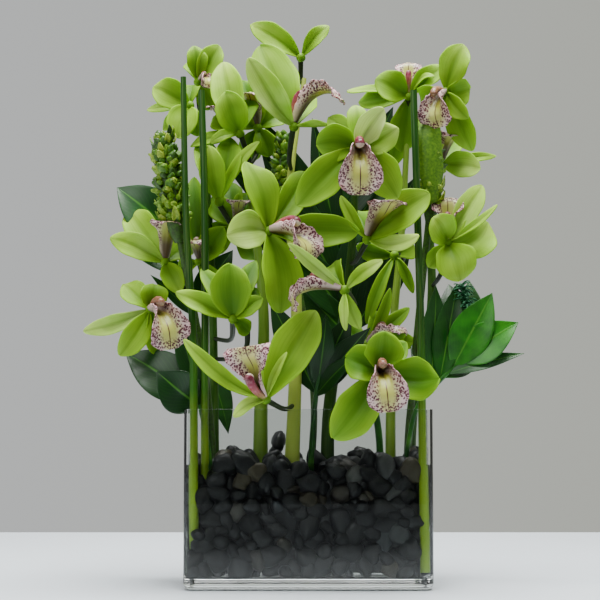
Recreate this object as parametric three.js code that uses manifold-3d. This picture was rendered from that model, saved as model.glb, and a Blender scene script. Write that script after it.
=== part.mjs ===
// Green cymbidium orchids, reeds and leaves in a rectangular glass vase with black pebbles.
// Millimetres, +Z up, the front of the vase towards -Y, origin at the middle of the vase's underside.
import * as THREE from 'three';
import { mergeVertices } from 'three/addons/utils/BufferGeometryUtils.js';
import Module from 'manifold-3d';

const wasm = await Module();
wasm.setup();

// Driving dimensions
const VASE_LENGTH = 203;
const VASE_DEPTH = 102;
const VASE_HEIGHT = 146;
const WALL = 3.2;
const BASE_THICKNESS = 9;
const VASE_CORNER = 5;
const VASE_FOOT_RADIUS = 6;
const WATER_LEVEL = 101;
const CLEARANCE = 0.3;
const TEPAL_THICKNESS = 1.5;
const HUB_RADIUS = 4.8;
const PEDICEL_RADIUS = 2.1;
const STEM_FOOT = 24;
const LEAF_THICKNESS = 1.4;
const LEAF_STALK_RADIUS = 2;

// Materials, with the colours seen on the real pieces
const materials = {
  glass: { color: 0xdfe8e4, roughness: 0.03, metalness: 0, transparent: true, opacity: 0.3 },
  water: { color: 0xe6efec, roughness: 0.02, metalness: 0, transparent: true, opacity: 0.3 },
  pebble: { color: 0x1d1d1f, roughness: 0.45, metalness: 0 },
  reed: { color: 0x3d7a24, roughness: 0.45, metalness: 0 },
  stalk: { color: 0x55802f, roughness: 0.5, metalness: 0 },
  bud: { color: 0x5c9a26, roughness: 0.55, metalness: 0 },
  tepal: { color: 0x93bd45, roughness: 0.5, metalness: 0 },
  lip: { color: 0xe9d9cf, roughness: 0.5, metalness: 0 },
  leaf: { color: 0x1f5220, roughness: 0.3, metalness: 0 },
};

const arrangement = new THREE.Group();

// Small tools: vectors, seeded numbers, and joining and cutting of closed meshes

const vec = (x, y, z) => new THREE.Vector3(x, y, z);

function seededNumbers(seed) {
  let state = seed;
  return () => {
    state = (state * 1664525 + 1013904223) % 4294967296;
    return state / 4294967296;
  };
}

function toSolid(geometry) {
  const bare = geometry.clone();
  bare.deleteAttribute('normal');
  bare.deleteAttribute('uv');
  const merged = mergeVertices(bare, 1e-4);
  return new wasm.Manifold(new wasm.Mesh({
    numProp: 3,
    vertProperties: new Float32Array(merged.attributes.position.array),
    triVerts: new Uint32Array(merged.index.array),
  }));
}

function toGeometry(solid) {
  const mesh = solid.getMesh();
  const geometry = new THREE.BufferGeometry();
  geometry.setAttribute('position', new THREE.BufferAttribute(new Float32Array(mesh.vertProperties), 3));
  geometry.setIndex(Array.from(mesh.triVerts));
  geometry.computeVertexNormals();
  return geometry;
}

function join(solids) {
  return solids.reduce((sum, solid) => sum.add(solid));
}

// A fused piece keeps its one main body: a scrap cut loose by a neighbour is dropped.
function mainBody(solid) {
  return solid.decompose().reduce((best, body) => (body.volume() > best.volume() ? body : best));
}

function boxesMeet(first, second) {
  const meetsAlong = (axis) => first.min[axis] < second.max[axis] && second.min[axis] < first.max[axis];
  return [0, 1, 2].every(meetsAlong);
}

// Pieces are added in turn. Each is built twice: as it is, and grown by the clearance, so that a later
// piece which touches it is trimmed back to a small gap and nothing runs through anything else.
const TWIN_MARGIN = 1.7;
const LEAST_OVERLAP = 0.004;
const standing = [];

function addPiece(name, build, material) {
  let solid = build(0);
  standing.forEach((earlier) => {
    if (boxesMeet(solid.boundingBox(), earlier.box)) {
      [earlier.grown, earlier.solid].forEach((other) => {
        if (solid.intersect(other).volume() > LEAST_OVERLAP) {
          solid = solid.subtract(other);
        }
      });
    }
  });
  const grown = build(CLEARANCE * TWIN_MARGIN);
  standing.push({ solid, grown, box: grown.boundingBox() });
  const body = mainBody(toSolid(toGeometry(mainBody(solid))));
  const mesh = new THREE.Mesh(toGeometry(body), new THREE.MeshStandardMaterial(material));
  mesh.name = name;
  arrangement.add(mesh);
}

// A closed skin over a row of rings with the same number of points. The last ring closes on one tip
// point. Quads on the front half and on the back half are split along like diagonals, so that a
// thin waved blade never crosses itself.
function skin(rings, tip) {
  const count = rings[0].length;
  const positions = [...rings.flat(), tip].flatMap((point) => [point.x, point.y, point.z]);
  const tipIndex = rings.length * count;
  const faces = [];
  for (let corner = 1; corner < count - 1; corner += 1) {
    faces.push(0, corner + 1, corner);
  }
  for (let row = 0; row < rings.length - 1; row += 1) {
    for (let corner = 0; corner < count; corner += 1) {
      const next = (corner + 1) % count;
      const here = row * count;
      const there = here + count;
      if (corner < count / 2) {
        faces.push(here + corner, here + next, there + next, here + corner, there + next, there + corner);
      } else {
        faces.push(here + corner, here + next, there + corner, here + next, there + next, there + corner);
      }
    }
  }
  const last = (rings.length - 1) * count;
  for (let corner = 0; corner < count; corner += 1) {
    faces.push(last + corner, last + (corner + 1) % count, tipIndex);
  }
  const geometry = new THREE.BufferGeometry();
  geometry.setAttribute('position', new THREE.BufferAttribute(new Float32Array(positions), 3));
  geometry.setIndex(faces);
  const solid = toSolid(geometry);
  if (solid.volume() > 0) {
    return solid;
  }
  geometry.setIndex(faces.reverse());
  return toSolid(geometry);
}

// A blade that follows a curve. The way it faces, its half width and its cup (how far the edges stand
// in front of the middle) are functions of the way along it; both faces meet in a sharp edge.
function blade({ curve, face, halfWidth, cup, thickness, stations, columns, grow = 0 }) {
  const edgeSlope = 1 + (columns - 2) / columns;
  const rings = stations.slice(0, -1).map((along) => {
    const centre = curve.getPointAt(along);
    const tangent = curve.getTangentAt(along);
    const side = tangent.clone().cross(face(along)).normalize();
    const normal = side.clone().cross(tangent).normalize();
    const fronts = [];
    const backs = [];
    for (let column = 0; column <= columns; column += 1) {
      const across = (2 * column) / columns - 1;
      const atEdge = column === 0 || column === columns;
      const outward = atEdge ? across * 2 * grow : 0;
      const reach = across * halfWidth(along) + outward;
      const edgeRise = atEdge ? 1 + (edgeSlope * 2 * grow) / Math.max(halfWidth(along), 1) : 1;
      const lift = cup(along) * across * across * edgeRise;
      const half = atEdge ? 0 : (thickness * (1 - 0.35 * along) * (1 - across * across)) / 2 + grow;
      const middle = centre.clone().addScaledVector(side, reach);
      fronts.push(middle.clone().addScaledVector(normal, lift + half));
      if (!atEdge) {
        backs.unshift(middle.clone().addScaledVector(normal, lift - half));
      }
    }
    return [...fronts, ...backs];
  });
  return skin(rings, curve.getPointAt(1).addScaledVector(curve.getTangentAt(1), 2 * grow));
}

// The flats of a few-sided stalk grow less than its corners do.
const STALK_GROWTH = 1.25;

// A round stalk along a smooth route, thinner towards its far end, cut square at both ends
function stalkAlong(points, { foot, top, sides, steps }, grow = 0) {
  const curve = points.length === 2
    ? new THREE.LineCurve3(points[0], points[1])
    : new THREE.CatmullRomCurve3(points, false, 'centripetal');
  const { normals, binormals } = curve.computeFrenetFrames(steps, false);
  const rings = Array.from({ length: steps + 1 }, (unused, step) => {
    const centre = curve.getPointAt(step / steps);
    const radius = foot + ((top - foot) * step) / steps + grow * STALK_GROWTH;
    return Array.from({ length: sides }, (unusedToo, side) => {
      const angle = (2 * Math.PI * side) / sides;
      return centre.clone()
        .addScaledVector(normals[step], radius * Math.cos(angle))
        .addScaledVector(binormals[step], radius * Math.sin(angle));
    });
  });
  return skin(rings, curve.getPointAt(1));
}

// Glass vase: a rounded block with a hollow cut down into it, and a thick base

function roundedRectangle(width, depth, radius) {
  const shape = new THREE.Shape();
  const x = width / 2;
  const y = depth / 2;
  shape.moveTo(-x + radius, -y);
  shape.lineTo(x - radius, -y);
  shape.absarc(x - radius, -y + radius, radius, -Math.PI / 2, 0, false);
  shape.lineTo(x, y - radius);
  shape.absarc(x - radius, y - radius, radius, 0, Math.PI / 2, false);
  shape.lineTo(-x + radius, y);
  shape.absarc(-x + radius, y - radius, radius, Math.PI / 2, Math.PI, false);
  shape.lineTo(-x, -y + radius);
  shape.absarc(-x + radius, -y + radius, radius, Math.PI, 1.5 * Math.PI, false);
  return shape;
}

function block(width, depth, bottom, top, radius, bevel = 0) {
  const shape = roundedRectangle(width - 2 * bevel, depth - 2 * bevel, Math.max(radius - bevel, 0.6));
  const geometry = new THREE.ExtrudeGeometry(shape, {
    depth: top - bottom - 2 * bevel,
    curveSegments: 2,
    bevelEnabled: bevel > 0,
    bevelSize: bevel,
    bevelThickness: bevel,
    bevelSegments: 2,
  });
  geometry.translate(0, 0, bottom + bevel);
  return toSolid(geometry);
}

const innerLength = VASE_LENGTH - 2 * WALL;
const innerDepth = VASE_DEPTH - 2 * WALL;
const innerCorner = VASE_CORNER - WALL / 2;
const RIM_SPARE = 20;

addPiece('vase', (grow) => {
  const spareTop = VASE_HEIGHT + RIM_SPARE;
  const outside = block(VASE_LENGTH, VASE_DEPTH, 0, spareTop, VASE_CORNER + WALL / 2, VASE_FOOT_RADIUS);
  const cutOff = block(
    VASE_LENGTH + RIM_SPARE,
    VASE_DEPTH + RIM_SPARE,
    VASE_HEIGHT + grow,
    spareTop + RIM_SPARE,
    innerCorner,
  );
  const room = block(
    innerLength - 2 * grow,
    innerDepth - 2 * grow,
    BASE_THICKNESS + grow,
    spareTop + RIM_SPARE,
    innerCorner,
  );
  return outside.subtract(cutOff).subtract(room);
}, materials.glass);

// Three smooth reeds, cut square at the top

const reeds = [
  {
    points: [
      [-92, -33, 14], [-93, -37, 50], [-93.5, -41, 110],
      [-95, -40, 211], [-101, -40, 300], [-104, -40, 422],
    ],
    foot: 3.9,
    top: 2.4,
  },
  {
    points: [
      [-85, -22, 14], [-85.2, -30, 110], [-85.2, -36, 160],
      [-85, -38, 211], [-86, -38, 319], [-89, -38, 411],
    ],
    foot: 3.5,
    top: 2.8,
  },
  {
    points: [[94.2, -41, 14], [93, -41, 153], [92, -40, 240], [90, -38, 327], [88, -38, 411]],
    foot: 3.7,
    top: 2.8,
  },
];

reeds.forEach(({ points, foot, top }, index) => {
  const route = points.map((point) => vec(...point));
  const shape = { foot, top, sides: 8, steps: 6 };
  addPiece(`reed_${index + 1}`, (grow) => stalkAlong(route, shape, grow), materials.reed);
});

// Bud spikes: a stalk that widens into a core covered with small round buds on a winding rule

const budSpikes = [
  { route: [[-74, -20, STEM_FOOT], [-84, -22, 160], [-110, -27, 302], [-122, -30, 376]], width: 13.5 },
  { route: [[-6, 14, STEM_FOOT], [5, 14, 154], [-24, 28, 328], [-22, 28, 386]], width: 7.5 },
  { route: [[78, -2, STEM_FOOT], [90, -10, 190], [104, -18, 318], [104, -20, 386]], width: 10 },
];
const SPIKE_STALK_RADIUS = 3;
const SPIKE_FUNNEL_FOOT = 3.6;

const BUDS_ROUND = 5;
const BUD_PITCH = 7;
const BUD_DEPTH = 0.3;

// Each bud is a point that stands out of the skin of the head; the rows are turned half a bud each.
function budHead(neck, top, width, seed, grow) {
  const random = seededNumbers(seed);
  const axis = top.clone().sub(neck);
  const up = axis.clone().normalize();
  const out = vec(1, 0, 0).cross(up).normalize();
  const rows = Math.round(axis.length() / BUD_PITCH);
  const corners = 2 * BUDS_ROUND;
  const rings = Array.from({ length: rows + 1 }, (unused, row) => {
    const along = row / rows;
    const swell = width * (0.62 + 0.38 * Math.sin(Math.PI * (0.12 + 0.7 * along)));
    return Array.from({ length: corners }, (unusedToo, corner) => {
      const standsOut = (corner + row) % 2 === 0;
      const radius = swell * (standsOut ? 1 + BUD_DEPTH * random() : 1 - BUD_DEPTH) + grow * STALK_GROWTH;
      const spoke = out.clone().applyAxisAngle(up, (corner / corners) * 2 * Math.PI);
      const sag = (random() - 0.5) * BUD_PITCH * 0.4;
      return neck.clone().lerp(top, along).addScaledVector(spoke, radius).addScaledVector(up, sag);
    });
  });
  return skin(rings, top.clone().addScaledVector(up, width * 0.5 + grow));
}

budSpikes.forEach(({ route, width }, index) => {
  const [foot, bend, neck, top] = route.map((point) => vec(...point));
  const stalkShape = { foot: SPIKE_STALK_RADIUS, top: SPIKE_STALK_RADIUS, sides: 5, steps: 5 };
  const funnelShape = { foot: SPIKE_FUNNEL_FOOT, top: width * 0.9, sides: 6, steps: 2 };
  const funnelRoute = [neck.clone().lerp(bend, 0.25), neck, neck.clone().lerp(top, 0.3)];
  addPiece(`bud_spike_${index + 1}`, (grow) => join([
    stalkAlong([foot, bend, neck.clone().lerp(top, 0.1)], stalkShape, grow),
    stalkAlong(funnelRoute, funnelShape, grow),
    budHead(neck, top, width, 11 + index, grow),
  ]), materials.bud);
});

// Orchid blooms. Each has its place, the way it faces (turned to the right and tipped up, in degrees),
// its roll, the size of its lip, and its tepals. A tepal is its tip from the middle of the bloom [right,
// back, up], its width, its bow, its twist (0 faces as the bloom does, 1 faces the front) and how far
// its middle arches up. A lip of size 0 is one that its tepals hide.
const blooms = [
  {
    name: 'bloom_01', at: [-12, -35, 381], facing: [74, 72], roll: 0, lip: 1.22, curl: 0.95, columns: 2,
    tepals: [
      [-37, -30, 51, 24, 5, 0.95, -6],
      [-29, 26, 74, 43, 3, 0.9, 4],
      [37, -14, 0, 18, 3, 0, -3],
      [17, 44, 35, 18, 4, 0.8],
      [-31, 48, 44, 22, 6, 0.8],
    ],
  },
  {
    name: 'bloom_02', at: [40, -60, 359], facing: [2, -8], roll: 0, lip: 1.3, curl: 1, columns: 3,
    tepals: [
      [21, -24, 27, 22, 8, 0.6, 3],
      [32, -12, 14, 26, 5, 0, -2],
      [-34, -10, 1, 31, 5, 0, 2],
      [-49, -16, -50, 31, 6, 0, 2],
      [32, -10, -43, 31, 6],
      [-23, 10, 28, 19, 4, 0.7],
      [-1, 4, 37, 18, 6, 0.8, 2],
    ],
  },
  {
    name: 'bloom_03', at: [-33, -52, 291], facing: [50, 6], roll: 8, lip: 1.35, curl: 0.7, columns: 3,
    tepals: [
      [-18, -2, 58, 29, 7, 0.5],
      [31, 30, 56, 26, 4, 0.5],
      [-33, -20, -5, 32, 7, 0.5],
      [12, -6, -68, 37, 7, 0.5, -2],
      [74, 10, 1, 29, 5, 0.5],
    ],
  },
  {
    name: 'bloom_04', at: [29, -74, 241], facing: [-80, 18], roll: 6, lip: 1.2, curl: 0.75, columns: 2,
    tepals: [
      [-45, -26, 35, 11, 4, 0.7],
      [30, -8, 23, 13, 5, 0.7],
      [0, -12, -33, 8, 4, 0.8],
      [12, 10, -30, 13, 4, 0.8],
      [-7, 30, 27, 19, 5, 0.6],
    ],
  },
  {
    name: 'bloom_05', at: [-34, -72, 154], facing: [-34, 40], roll: 172, lip: 1.25, curl: 0.2, columns: 2,
    tepals: [
      [40, 14, 71, 37, 6, 0.75],
      [17, -14, 37, 8, 4, 0.4],
      [-25, -14, -14, 13, 4, 0.3],
      [-66, 2, 48, 14, 4, 0.8, -8],
      [11, 30, 26, 23, 4, 0.6],
    ],
  },
  {
    name: 'bloom_06', at: [57, -76, 176], facing: [2, 6], roll: -6, lip: 1.2, curl: 1, columns: 3,
    tepals: [
      [3, -22, 31, 32, 7, 0.2, 4],
      [48, -2, -5, 35, 6, 0, -3],
      [-28, -4, 11, 30, 6, 0.3],
      [-38, -4, -53, 35, 6, 0.3, -6],
      [21, 6, 24, 18, 4, 0.4],
    ],
  },
  {
    name: 'bloom_07', at: [-132, -22, 229], facing: [24, 4], roll: -10, lip: 1.25, curl: 1, columns: 2,
    tepals: [
      [-57, 2, -18, 16, 5, 0, -2],
      [-23, 8, 22, 23, 5],
      [4, -4, 22, 25, 5],
      [-24, -12, -39, 23, 5, 0, -2],
      [6, 8, -38, 23, 5],
    ],
  },
  {
    name: 'bloom_08', at: [-121, -8, 270], facing: [14, 76], roll: 0, lip: 1.15, curl: 0.5, columns: 2,
    tepals: [
      [-35, 24, 48, 29, 5, 0.95, 3],
      [-46, -6, 20, 22, 5, 0.9, 2],
      [14, -16, -27, 20, 4, 0.8],
      [-16, 42, 39, 24, 5, 0.8],
      [18, 30, 19, 22, 4, 0.8],
    ],
  },
  {
    name: 'bloom_09', at: [-61, -58, 219], facing: [10, 58], roll: 0, lip: 0, curl: 1, columns: 2,
    tepals: [
      [-2, -14, 43, 34, 7, 0.9],
      [-46, -6, 21, 17, 5, 0.85],
      [24, -8, 17, 16, 4, 0.8],
      [-27, 20, 43, 16, 5, 0.8],
      [19, 24, 26, 18, 5, 0.8],
      [13, 8, -11, 15, 4, 0.8],
      [17, 28, 50, 18, 5, 0.8],
    ],
  },
  {
    name: 'bloom_10', at: [-102, 5, 407], facing: [-40, 48], roll: 0, lip: 0, curl: 1, columns: 2,
    tepals: [
      [-31, -6, 16, 27, 5, 0.9],
      [-37, 2, -3, 10, 4, 0.6, -2],
      [-9, -14, -31, 27, 5, 0.9],
      [2, 14, 22, 17, 4, 0.8],
      [8, -8, -28, 17, 4, 0.8],
      [-24, 16, -18, 12, 4, 0.8],
    ],
  },
  {
    name: 'bloom_11', at: [-96, 24, 432], facing: [10, 10], roll: 0, lip: 0, curl: 1, columns: 2,
    tepals: [
      [-3, -8, 31, 19, 4],
      [18, -2, 32, 22, 4],
      [-8, 16, 22, 17, 4],
      [15, 16, 9, 17, 4],
      [10, 6, -24, 21, 4],
    ],
  },
  {
    name: 'bloom_12', at: [-58, -8, 380], facing: [-105, 60], roll: 0, lip: 0.95, curl: 0.2, columns: 2,
    tepals: [
      [-16, 12, 67, 29, 5, 0.8],
      [-12, -18, 33, 28, 7, 0.95],
      [-25, -8, -9, 12, 4, 0.7],
      [9, 30, 37, 20, 5, 0.8],
      [-43, 8, -9, 14, 4, 0.6],
      [-24, 16, 17, 24, 4, 0.7],
    ],
  },
  {
    name: 'bloom_13', at: [-75, -20, 320], facing: [4, 68], roll: 0, lip: 0, curl: 1, columns: 2,
    tepals: [
      [-8, -16, 45, 23, 6, 0.95],
      [10, 10, 58, 25, 5, 0.9],
      [34, 2, 52, 11, 3, 0.8, 6],
      [-17, 26, 61, 22, 5, 0.8],
    ],
  },
  {
    name: 'bloom_14', at: [88, 20, 418], facing: [-4, 84], roll: 180, lip: 0.85, curl: 0.3, columns: 2,
    tepals: [
      [-30, -14, 13, 29, 6, 0.9],
      [32, -10, 25, 19, 5, 0.7],
      [-54, 10, 8, 12, 4, 0.5],
      [21, -16, 14, 10, 4, 0.5, 4],
      [-6, 12, -47, 29, 5, 0.8],
      [-43, 12, -3, 24, 4, 0.7],
      [-15, 22, -60, 23, 4, 0.7],
    ],
  },
  {
    name: 'bloom_15', at: [117, -15, 415], facing: [-30, -18], roll: -6, lip: 1.05, curl: 0.8, columns: 2,
    tepals: [
      [14, -8, 39, 28, 5],
      [17, -16, -26, 17, 4],
      [22, 4, -51, 25, 5, 0, 4],
      [-21, 14, -7, 27, 5],
      [21, 2, 3, 23, 5],
    ],
  },
  {
    name: 'bloom_16', at: [116, 15, 358], facing: [22, 66], roll: 0, lip: 0.95, curl: 0.6, columns: 2,
    tepals: [
      [33, -12, -5, 24, 5, 0.9],
      [49, 12, 9, 9, 4, 0.8],
      [-12, 26, 22, 23, 5, 0.7],
      [16, 36, 28, 21, 5, 0.7],
    ],
  },
  {
    name: 'bloom_17', at: [117, -25, 285], facing: [-8, 74], roll: 180, lip: 1, curl: 0.3, columns: 2,
    tepals: [
      [30, 4, 50, 22, 5, 0.9],
      [-14, -22, 19, 28, 6, 0.8],
      [39, -16, 30, 8, 3, 0.5, -5],
      [34, 6, 18, 35, 5, 1, -8],
      [9, -14, -34, 35, 6, 1],
      [-16, 6, -21, 18, 4, 0.9],
    ],
  },
  {
    name: 'bloom_18', at: [49, -36, 286], facing: [36, 60], roll: 0, lip: 1.25, curl: 0.3, columns: 2,
    tepals: [
      [-22, -8, 36, 12, 4, 0.6, -6],
      [51, -12, 38, 31, 5, 0.85],
      [41, -24, 1, 16, 5, 0.6, -8],
      [-10, 36, 30, 22, 4, 0.7],
    ],
  },
  {
    name: 'bloom_19', at: [74, 4, 277], facing: [-60, -30], roll: 0, lip: 0, curl: 1, columns: 2,
    tepals: [
      [-25, -12, -59, 12, 4, 0.8, 3],
      [15, -6, -33, 10, 3, 0.6, 6],
      [-32, 16, 9, 17, 4, 0.5],
      [19, 22, 11, 19, 4, 0.6],
    ],
  },
  {
    name: 'bloom_20', at: [48, -22, 199], facing: [55, 40], roll: 0, lip: 1, curl: 0.4, columns: 2,
    tepals: [
      [20, -10, 47, 10, 4, 0.7, -6],
      [34, 10, 11, 17, 4, 0.7],
      [14, 32, 32, 17, 4, 0.7],
      [-21, 24, 18, 20, 4, 0.6],
      [45, 22, 4, 17, 4, 0.7],
      [37, 8, 32, 13, 4, 0.7],
    ],
  },
  {
    name: 'bloom_21', at: [-62, 22, 303], facing: [-30, 30], roll: 0, lip: 0, curl: 1, columns: 2,
    tepals: [
      [-22, 10, 28, 23, 4, 0.5],
      [19, 16, 34, 24, 4, 0.5],
      [-27, 12, -6, 19, 4, 0.5],
      [19, 20, -26, 21, 4, 0.5],
      [-19, 2, -21, 22, 4, 0.6],
      [-6, 22, 44, 24, 4, 0.6],
    ],
  },
  {
    name: 'bloom_22', at: [-93, 6, 272], facing: [-8, 50], roll: 0, lip: 0.9, curl: 0.5, columns: 2,
    tepals: [
      [-7, 26, 77, 21, 4, 0.7],
      [21, -12, 28, 24, 5, 0.9],
      [-18, 16, -9, 19, 4, 0.7],
      [15, 12, -25, 19, 4, 0.7],
    ],
  },
  {
    name: 'bloom_23', at: [-44, 34, 393], facing: [-20, 24], roll: 0, lip: 0, curl: 1, columns: 2,
    tepals: [
      [2, 6, 39, 23, 4, 0.6],
      [25, 10, 16, 23, 4, 0.6],
      [-27, 8, 7, 19, 4, 0.6],
      [11, 0, -25, 21, 4, 0.7],
      [-11, 10, -29, 23, 4, 0.6],
      [-13, 10, 45, 19, 4, 0.6],
    ],
  },
  {
    name: 'bloom_24', at: [-6, 30, 455], facing: [10, 56], roll: 0, lip: 0, curl: 1, columns: 2,
    tepals: [
      [-44, -6, 28, 23, 4, 0.8, -1],
      [25, -4, 28, 15, 4, 0.7, 2],
      [-27, 12, 23, 16, 4, 0.8],
      [11, 14, 16, 9, 4, 0.7],
    ],
  },
];

const FRONT = vec(0, -1, 0);
const HUB_GROWTH = 1.7;
const TEPAL_ROOT = 2.2;
const TEPAL_STATIONS = [0, 0.2, 0.42, 0.66, 0.87, 1];
const PLAIN_TEPAL_STATIONS = [0, 0.26, 0.56, 0.85, 1];
const TEPAL_WIDEST = 0.56;
const TEPAL_NARROW_BASE = 0.14;
const TEPAL_SHOULDER = 1.8;
const TEPAL_TAPER = 0.62;

function tepalHalfWidth(width) {
  return (along) => {
    const rise = Math.sin((Math.PI / 2) * Math.min(1, along / TEPAL_WIDEST));
    const past = Math.max(0, (along - TEPAL_WIDEST) / (1 - TEPAL_WIDEST));
    const swell = TEPAL_NARROW_BASE + (1 - TEPAL_NARROW_BASE) * rise;
    return (width / 2) * swell * (1 - past ** TEPAL_SHOULDER) ** TEPAL_TAPER;
  };
}

function bloomFrame({ facing, roll }) {
  const turn = THREE.MathUtils.degToRad(facing[0]);
  const tip = THREE.MathUtils.degToRad(facing[1]);
  const rolled = THREE.MathUtils.degToRad(roll);
  const forward = vec(Math.sin(turn) * Math.cos(tip), -Math.cos(turn) * Math.cos(tip), Math.sin(tip));
  const level = vec(Math.cos(turn), Math.sin(turn), 0);
  const upright = level.clone().cross(forward).multiplyScalar(-1);
  const up = upright.clone().multiplyScalar(Math.cos(rolled)).addScaledVector(level, Math.sin(rolled));
  const right = level.clone().multiplyScalar(Math.cos(rolled)).addScaledVector(upright, -Math.sin(rolled));
  return { forward, up, right };
}

function makeTepal(centre, forward, [right, back, up, width, bow, twist = 0, arch = 0], columns, grow) {
  const reach = vec(right, back, up);
  const base = centre.clone().addScaledVector(reach.clone().normalize(), TEPAL_ROOT);
  const tip = centre.clone().add(reach);
  const face = () => forward.clone().lerp(FRONT, twist).normalize();
  const control = base.clone().lerp(tip, 0.45).addScaledVector(face(), bow * 2).add(vec(0, 0, arch * 2));
  const cupDepth = width * 0.16;
  return blade({
    curve: new THREE.QuadraticBezierCurve3(base, control, tip),
    face,
    halfWidth: tepalHalfWidth(width),
    cup: (along) => cupDepth * Math.sin(Math.PI * Math.min(1, along + 0.1)),
    thickness: TEPAL_THICKNESS,
    stations: columns > 2 ? TEPAL_STATIONS : PLAIN_TEPAL_STATIONS,
    columns,
    grow,
  });
}

function hub(centre, grow) {
  const geometry = new THREE.OctahedronGeometry(HUB_RADIUS + grow * HUB_GROWTH, 0);
  geometry.translate(centre.x, centre.y, centre.z);
  return toSolid(geometry);
}

// Lip: a trough whose side lobes stand up round the column, and a broad front lobe that rolls under
const LIP_ROUTE = [[0, -1, 3.5], [0, -4, 14], [0, -8, 23], [0, -17, 29], [0, -30, 26]];
const LIP_STATIONS = [0, 0.25, 0.5, 0.72, 0.9, 1];
const LIP_HALF_WIDTHS = [3, 4.2, 6.4, 13.4, 9.5, 0];
const LIP_CUPS = [3.4, 6.5, 9.7, 4.9, -1.2, 0];
const LIP_FALL = 8;
const LIP_LIFT = 0.64;
const COLUMN_ROUTE = [[0, 0.5, 3.5], [0, 3.6, 13], [0, 3.6, 20.5]];
const COLUMN_RADII = [2.2, 2.5, 2.8];
const COLUMN_TIP = [0, 1.6, 24];
const COLUMN_SIDES = 5;

function lipValue(values, scale) {
  return (along) => values[LIP_STATIONS.indexOf(along)] * scale;
}

// The curl says how far the front lobe turns down: at 1 it rolls under, at 0 it runs on forward.
function bendLip([aside, high, ahead], curl) {
  const fall = Math.max(0, -LIP_FALL - high);
  return [aside, high + fall * (1 - curl), ahead + fall * (1 - curl) * LIP_LIFT];
}

function makeLip(centre, { forward, up, right }, scale, curl, grow) {
  const place = ([aside, high, ahead]) => centre.clone()
    .addScaledVector(right, aside * scale)
    .addScaledVector(up, high * scale)
    .addScaledVector(forward, (ahead - LIP_ROUTE[0][2]) * scale + LIP_ROUTE[0][2]);
  const trough = blade({
    curve: new THREE.CatmullRomCurve3(LIP_ROUTE.map((point) => place(bendLip(point, curl)))),
    face: () => up,
    halfWidth: lipValue(LIP_HALF_WIDTHS, scale),
    cup: lipValue(LIP_CUPS, scale),
    thickness: TEPAL_THICKNESS * 1.4,
    stations: LIP_STATIONS,
    columns: 3,
    grow,
  });
  const rings = COLUMN_ROUTE.map((point, index) => Array.from({ length: COLUMN_SIDES }, (unused, side) => {
    const angle = (2 * Math.PI * side) / COLUMN_SIDES;
    const radius = COLUMN_RADII[index] * scale + grow * STALK_GROWTH;
    return place(point)
      .addScaledVector(right, radius * Math.cos(angle))
      .addScaledVector(up, radius * Math.sin(angle));
  }));
  return trough.add(skin(rings, place(COLUMN_TIP).addScaledVector(forward, grow)));
}

const bloomCentres = new Map();

blooms.forEach((bloom) => {
  const centre = vec(...bloom.at);
  const frame = bloomFrame(bloom);
  bloomCentres.set(bloom.name, { centre, ...frame });
  addPiece(bloom.name, (grow) => join([
    hub(centre, grow),
    ...bloom.tepals.map((tepal) => makeTepal(centre, frame.forward, tepal, bloom.columns, grow)),
  ]), materials.tepal);
});

blooms.filter(({ lip }) => lip > 0).forEach(({ name, lip, curl }) => {
  const { centre, ...frame } = bloomCentres.get(name);
  addPiece(`${name}_lip`, (grow) => makeLip(centre, frame, lip, curl, grow), materials.lip);
});

// Orchid stems with a pedicel to the back of each bloom that they carry. A pedicel leaves the stem at
// its own height.
const orchidStems = [
  {
    points: [[-79, 8, STEM_FOOT], [-80, 8, 146], [-82, 18, 230], [-86, 30, 310], [-94, 28, 408]],
    foot: 4.8,
    top: 2.4,
    blooms: [
      ['bloom_07', 180],
      ['bloom_09', 206],
      ['bloom_22', 236],
      ['bloom_08', 240],
      ['bloom_10', 384],
      ['bloom_11', 400],
    ],
  },
  {
    points: [[-40, 2, STEM_FOOT], [-40, 2, 140], [-38, 4, 230], [-48, 10, 320], [-52, 14, 362]],
    foot: 7.7,
    top: 2.6,
    blooms: [['bloom_13', 290], ['bloom_21', 292], ['bloom_12', 350], ['bloom_23', 355]],
  },
  {
    points: [[-17, -20, STEM_FOOT], [-11, -20, 166], [-10, -14, 240], [-16, 10, 330], [-3, 28, 436]],
    foot: 7.2,
    top: 2,
    blooms: [['bloom_05', 148], ['bloom_03', 262], ['bloom_01', 352], ['bloom_24', 430]],
  },
  {
    points: [[17, 6, STEM_FOOT], [18, 8, 146], [30, 8, 220], [38, 0, 290], [40, -16, 336]],
    foot: 7,
    top: 2.8,
    blooms: [['bloom_20', 186], ['bloom_04', 226], ['bloom_18', 268], ['bloom_02', 330]],
  },
  {
    points: [[70, 2, STEM_FOOT], [70, 2, 146], [74, 20, 220], [82, 30, 300], [88, 30, 394]],
    foot: 5,
    top: 2.4,
    blooms: [['bloom_06', 160], ['bloom_19', 270], ['bloom_14', 388]],
  },
  {
    points: [[86, 22, STEM_FOOT], [90, 22, 146], [106, 16, 230], [106, 26, 320], [106, 6, 392]],
    foot: 6,
    top: 2.4,
    blooms: [['bloom_17', 250], ['bloom_16', 322], ['bloom_15', 386]],
  },
];

const PEDICEL_BEND = 9;
// Pedicels that sag before they rise to their bloom: the place of the lowest point
const saggingPedicels = { bloom_09: [-66, -10, 204] };
// Bare pedicels, whose bloom has gone: the stem, the height at which they leave it and the way they take
const barePedicels = [
  { stem: 1, height: 188, way: [[-60, -10, 189], [-51, -30, 198], [-50, -38, 211]] },
];

function stemPoint(curve, height) {
  const lowest = curve.getPointAt(0).z;
  const highest = curve.getPointAt(1).z;
  return curve.getPointAt((height - lowest) / (highest - lowest));
}

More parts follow.
